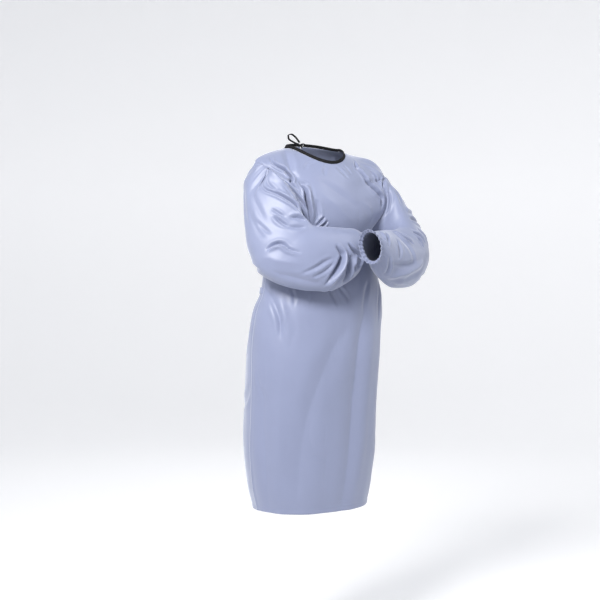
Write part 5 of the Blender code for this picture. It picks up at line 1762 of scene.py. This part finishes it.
def wrapped_knot(name, centre, size, material, slot, nodes):
    """A knot: one turn of tape round the tie, and the bundle that it holds."""
    wide, deep, high = size
    section = np.arange(ROUND_STEPS) / ROUND_STEPS * 2 * math.pi
    rings = []
    for angle in np.linspace(0, 2 * math.pi, 33):
        outward = np.array([0.0, math.cos(angle), math.sin(angle)])
        bulge = 1 + 0.12 * math.sin(2 * angle + 0.8)
        middle = np.array(centre) + outward * np.array([0.0, deep, high]) * 0.34
        across = np.sign(np.cos(section)) * np.abs(np.cos(section)) ** 0.5 * wide * 0.42 * bulge
        thick = np.sin(section) * 0.16 * (deep + high) / 2
        slant = np.array([0.22 * math.sin(angle), 0.0, 0.0]) * wide
        sideways = across[:, None] * np.array([1.0, 0.0, 0.0])
        rings.append(middle + slant + sideways + thick[:, None] * outward)
    turned = ring_turned_out(np.stack(rings))
    knot = tube_piece(name, turned, material, slot, nodes)
    along = np.linspace(-0.5, 0.5, 24)
    weave = 0.06 * deep * np.sin(5 * along)
    core = np.array(centre) + np.stack([along * wide * 1.05, weave, 0 * along], axis=1)
    bundle = tape_rings(core, np.array([0.0, 0.2, 1.0]), 0.5 * high, 0.5 * deep)
    held = tube_piece(name + "_bundle", bundle, material, slot, [])
    return knot, held


def on_back(run, knot, side):
    """A run of a tie laid along the back, from its table of x, z and height above the panels."""
    line = smooth_line(run, TAPE_STEPS)
    x = knot[0] + side * line[:, 0]
    z = knot[2] + line[:, 1]
    found = [np.argmin((BACK_FLAT[:, 0] - a) ** 2 + (BACK_FLAT[:, 2] - b) ** 2) for a, b in zip(x, z)]
    near, normal = BACK_FLAT[found], BACK_WAYS[found]
    slope = (x - near[:, 0]) * normal[:, 0] + (z - near[:, 2]) * normal[:, 2]
    place = np.stack([x, near[:, 1] - slope / normal[:, 1], z], axis=1)
    path = place + normal * line[:, 2:]
    for _ in range(3):
        path[1:-1] = (path[:-2] + 2 * path[1:-1] + path[2:]) / 4
    return path


tie_rows = np.linspace(0.0, 8.0, 300)
tie_ends = np.full(len(tie_rows), 0.75)
BACK_TOP, _ = back_surface(tie_rows, tie_ends, -tie_ends, 240, ())
BACK_FLAT = BACK_TOP.reshape(-1, 3)
BACK_WAYS = normals_of(BACK_TOP, False).reshape(-1, 3)
knot = np.array(NECK_KNOT)
neck_tie = list(
    wrapped_knot("neck_knot", NECK_KNOT, (0.0085, 0.009, 0.010), TAPE, "neck_tape", ["neck_tie_knot"])
)
for word, run, broad in (
    ("right", NECK_LOOP_RIGHT, NECK_LOOP_RIGHT_BROAD),
    ("left", NECK_LOOP_LEFT, NECK_LOOP_LEFT_BROAD),
):
    path = smooth_line(run, TAPE_STEPS) + knot
    facts = (TAPE_WIDTH, TAPE_WALL, TAPE, "neck_tape", ["neck_tie_loop_" + word])
    neck_tie.append(tape_piece("neck_loop_" + word, path, broad, *facts))
for word, run in (("right", NECK_END_RIGHT), ("left", NECK_END_LEFT)):
    facts = (TAPE_WIDTH, TAPE_WALL, TAPE, "neck_tape", ["neck_tie_end_" + word])
    neck_tie.append(tape_piece("neck_end_" + word, on_back(run, knot, 1), (1.0, 0.0, 0.0), *facts))
print("pieces of the neck tie:", len(neck_tie))

# %% [markdown]
# ## The waist tie
#
# Two straps of the gown's own cloth come from the side seams and are tied in a bow at the back. They draw the
# body in, which is why the outline narrows there. The photograph hides them, so they are finished plainly.

# %% Build the waist tie
WAIST_ROWS = (4.9, 5.1)
STRAP_LIFT = 0.0026
STRAP_WALL = 0.0016
STRAP_WIDTH = 0.0175
STRAP_START = 0.0115
STRAP_SEWN = 0.004  # how far from the side seam a strap comes out from under it
STRAP_EASE = 0.016
STRAP_TUCK = 0.0022
STRAP_STEPS = 110
WAIST_KNOT_SIZE = (0.018, 0.013, 0.018)
WAIST_LOOP_WIDTH = 0.015
WAIST_LOOP_SLANT = 0.35
WAIST_LOOP = (
    (0.0090, -0.0005, 0.0115),
    (0.0300, -0.0060, 0.0165),
    (0.0550, -0.0150, 0.0170),
    (0.0760, -0.0225, 0.0145),
    (0.0805, -0.0242, 0.0106),
    (0.0760, -0.0225, 0.0074),
    (0.0530, -0.0150, 0.0074),
    (0.0300, -0.0070, 0.0074),
    (0.0095, -0.0010, 0.0076),
)
WAIST_END = (
    (0.0085, -0.0150, 0.0050),
    (0.0130, -0.0400, 0.0044),
    (0.0210, -0.0900, 0.0040),
    (0.0180, -0.1400, 0.0040),
    (0.0250, -0.1850, 0.0040),
)
middle_x = float(read(LEAN_NAMES, LEAN, "x", 5.0))


def strap_piece(name, start, stop, side):
    """A waist strap, from its side seam to the knot."""
    rows = np.linspace(*WAIST_ROWS, 9)
    edges = (0,) if side > 0 else (-1,)
    points, _ = back_surface(rows, start(rows), stop(rows), STRAP_STEPS, edges)
    away = (points[..., 0] - middle_x) * side
    across, _ = to_edges(points, False)
    sewn = across if side > 0 else across[:, -1:] - across
    lift = STRAP_LIFT * ease((sewn + STRAP_SEWN) / STRAP_EASE)
    lift = lift - STRAP_TUCK * np.exp(-((sewn / STRAP_SEWN) ** 2))
    points = points + normals_of(points, False) * lift[..., None]
    kept = np.where(away.min(axis=0) > STRAP_START)[0]
    line = points[:, kept].mean(axis=0)
    broad = points[0, kept] - points[-1, kept]
    return tape_piece(name, line, broad, STRAP_WIDTH, STRAP_WALL, CLOTH, "gown_cloth", [name])


strap_left = strap_piece("waist_strap_left", np.ones_like, lambda rows: centre_back(rows, 1), 1)
strap_right = strap_piece(
    "waist_strap_right", lambda rows: centre_back(rows, -1), lambda rows: -np.ones_like(rows), -1
)
waist_knot = back_points(np.array([5.0]), np.array([0.0]))[0]
waist_knot = waist_knot + np.array([0.0, STRAP_LIFT + WAIST_KNOT_SIZE[1] / 2, 0.0])
waist_tie = list(
    wrapped_knot("waist_knot", waist_knot, WAIST_KNOT_SIZE, CLOTH, "gown_cloth", ["waist_tie_knot"])
)
for word, side in (("left", 1), ("right", -1)):
    broad = (-WAIST_LOOP_SLANT * side, 0.0, -1.0)
    path = on_back(WAIST_LOOP, waist_knot, side)
    facts = (STRAP_WALL, CLOTH, "gown_cloth")
    waist_tie.append(
        tape_piece("waist_loop_" + word, path, broad, WAIST_LOOP_WIDTH, *facts, ["waist_tie_loop_" + word])
    )
    path = on_back(WAIST_END, waist_knot, side)
    waist_tie.append(
        tape_piece("waist_end_" + word, path, (1.0, 0.0, 0.0), STRAP_WIDTH, *facts, ["waist_tie_end_" + word])
    )
print("pieces of the waist tie:", len(waist_tie))

# %% [markdown]
# ## Sewing
#
# The hem, the side and shoulder seams, the armholes and the channels of the elastic each get their row of
# stitches, at the distance from the edge that a sewing machine's foot gives.

# %% Lay the stitches
SEAM_STITCH = 0.0045
HEM_STITCH = HEM - HEM_STITCH_IN
STITCH_HEIGHT = CLOTH_WALL / 2 + 0.0001
armhole_rows = (int(np.searchsorted(body_rows, SHOULDER_TIP)), int(np.searchsorted(body_rows, UNDERARM)) + 1)
FREE_ROWS = 6  # rows at the hem that the side seams' stitches leave free
last_row = len(body_rows) - FREE_ROWS


def panel_lines(points, edges):
    """The stitch lines of a panel: its hem, and the whole of each sewn edge."""
    lines = [above_hem(points, False, HEM_STITCH)]
    for sewn in edges:
        lines.append(beside_edge(points, 1, last_row, sewn, SEAM_STITCH))
    return lines


def back_lines(points, sewn):
    """The stitch lines of a back: its hem, and the armhole's part of its sewn edge."""
    return [above_hem(points, False, HEM_STITCH), beside_edge(points, *armhole_rows, sewn, SEAM_STITCH)]


def ring_line(points, row):
    """A closed line round a sleeve."""
    line = np.concatenate([points[row], points[row][:1]])
    outward = normals_of(points, True)[row]
    return line, np.concatenate([outward, outward[:1]])


def channel_lines(points, elastic, table):
    """The two stitch lines of an elastic's channel."""
    start = elastic - GATHER_REACH
    share = (elastic - start) / (table[-1][0] - start)
    row = len(points) - 1 - WRIST_ROWS + int(share * WRIST_ROWS)
    return [ring_line(points, row - 4), ring_line(points, row + 3)]


SEWING = (
    ("front", panel_lines(front_grid, (0, -1))),
    ("back_left", back_lines(left_grid, 0)),
    ("back_right", back_lines(right_grid, -1)),
    ("sleeve_right", channel_lines(right_sleeve_grid, RIGHT_ELASTIC, RIGHT_SLEEVE)),
    ("sleeve_left", channel_lines(left_sleeve_grid, LEFT_ELASTIC, LEFT_SLEEVE)),
)
stitches = {
    word: stitch_piece(word + "_stitches", lines, STITCH_HEIGHT, THREAD, "gown_cloth")
    for word, lines in SEWING
}
stitches["binding"] = stitch_piece(
    "binding_stitches", [(stitch_line, outward)], BINDING_STITCH_HEIGHT, TAPE, "neck_tape"
)

# %% [markdown]
# ## What each sheet was cut to
#
# A robot that handles the gown needs the size of each cut piece, not of its folded form. Cloth doesn't
# stretch, so each piece's flat area is about the area of its surface.

SHEET_NAMES = ("piece", "width", "length", "area", "held", "rests_on", "with_pieces")
SHEETS = (
    (front, 0.58, 1.04, 0.53, "hung", ["neck_binding"], [stitches["front"]]),
    (back_left, 0.40, 1.06, 0.37, "hung", ["neck_binding"], [stitches["back_left"]]),
    (back_right, 0.40, 1.06, 0.37, "hung", ["neck_binding"], [stitches["back_right"]]),
    (sleeve_right, 0.44, 0.62, 0.20, "gathered", ["front_panel"], [stitches["sleeve_right"]]),
    (sleeve_left, 0.44, 0.58, 0.19, "gathered", ["front_panel", "sleeve_right"], [stitches["sleeve_left"]]),
    (binding, 0.0125, 0.53, None, "folded", ["front_panel"], neck_tie + [stitches["binding"]]),
    (strap_left, 0.0175, 0.24, None, "laid", ["back_left_panel"], waist_tie),
    (strap_right, 0.0175, 0.24, None, "laid", ["back_right_panel", "back_left_panel"], []),
)


def surface_area(made, closed):
    """The area of a piece's cloth: half of a closed surface, or the whole of an open one."""
    total = sum(face.area for face in made.data.polygons)
    return total / 2 if closed else total


for row in SHEETS:
    entry = dict(zip(SHEET_NAMES, row))
    piece = entry["piece"]
    flat = (entry["width"], entry["length"])
    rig.sheet(
        piece,
        flat=flat,
        held=entry["held"],
        rests_on=entry["rests_on"],
        area=entry["area"],
        with_pieces=entry["with_pieces"],
    )
    cut = entry["area"] or flat[0] * flat[1]
    real = surface_area(piece, not piece.modifiers)
    print(piece.name, "cloth", round(real, 4), "cut", round(cut, 4), "ratio", round(real / cut, 2))

# %% [markdown]
# ## Save the sizes and finish
#
# The box of the finished pieces should be that of the CAD model, apart from a few millimetres of folds.

# %% Finish
FULL_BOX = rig.bounds()
sizes = {
    "cad": [[float(v) for v in corner] for corner in CAD_BOX],
    "scene": [[float(v) for v in corner] for corner in FULL_BOX],
}
with open("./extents.json", "w") as out:
    json.dump(sizes, out, indent=1)
triangles = 0
for made in bpy.context.scene.objects:
    if made.type == "MESH" and not made.hide_render and "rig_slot" in made:
        faces = sum(len(face.vertices) - 2 for face in made.data.polygons)
        triangles += 2 * faces if made.modifiers else faces
print("triangles, without rims:", triangles)
print("sizes:", sizes)
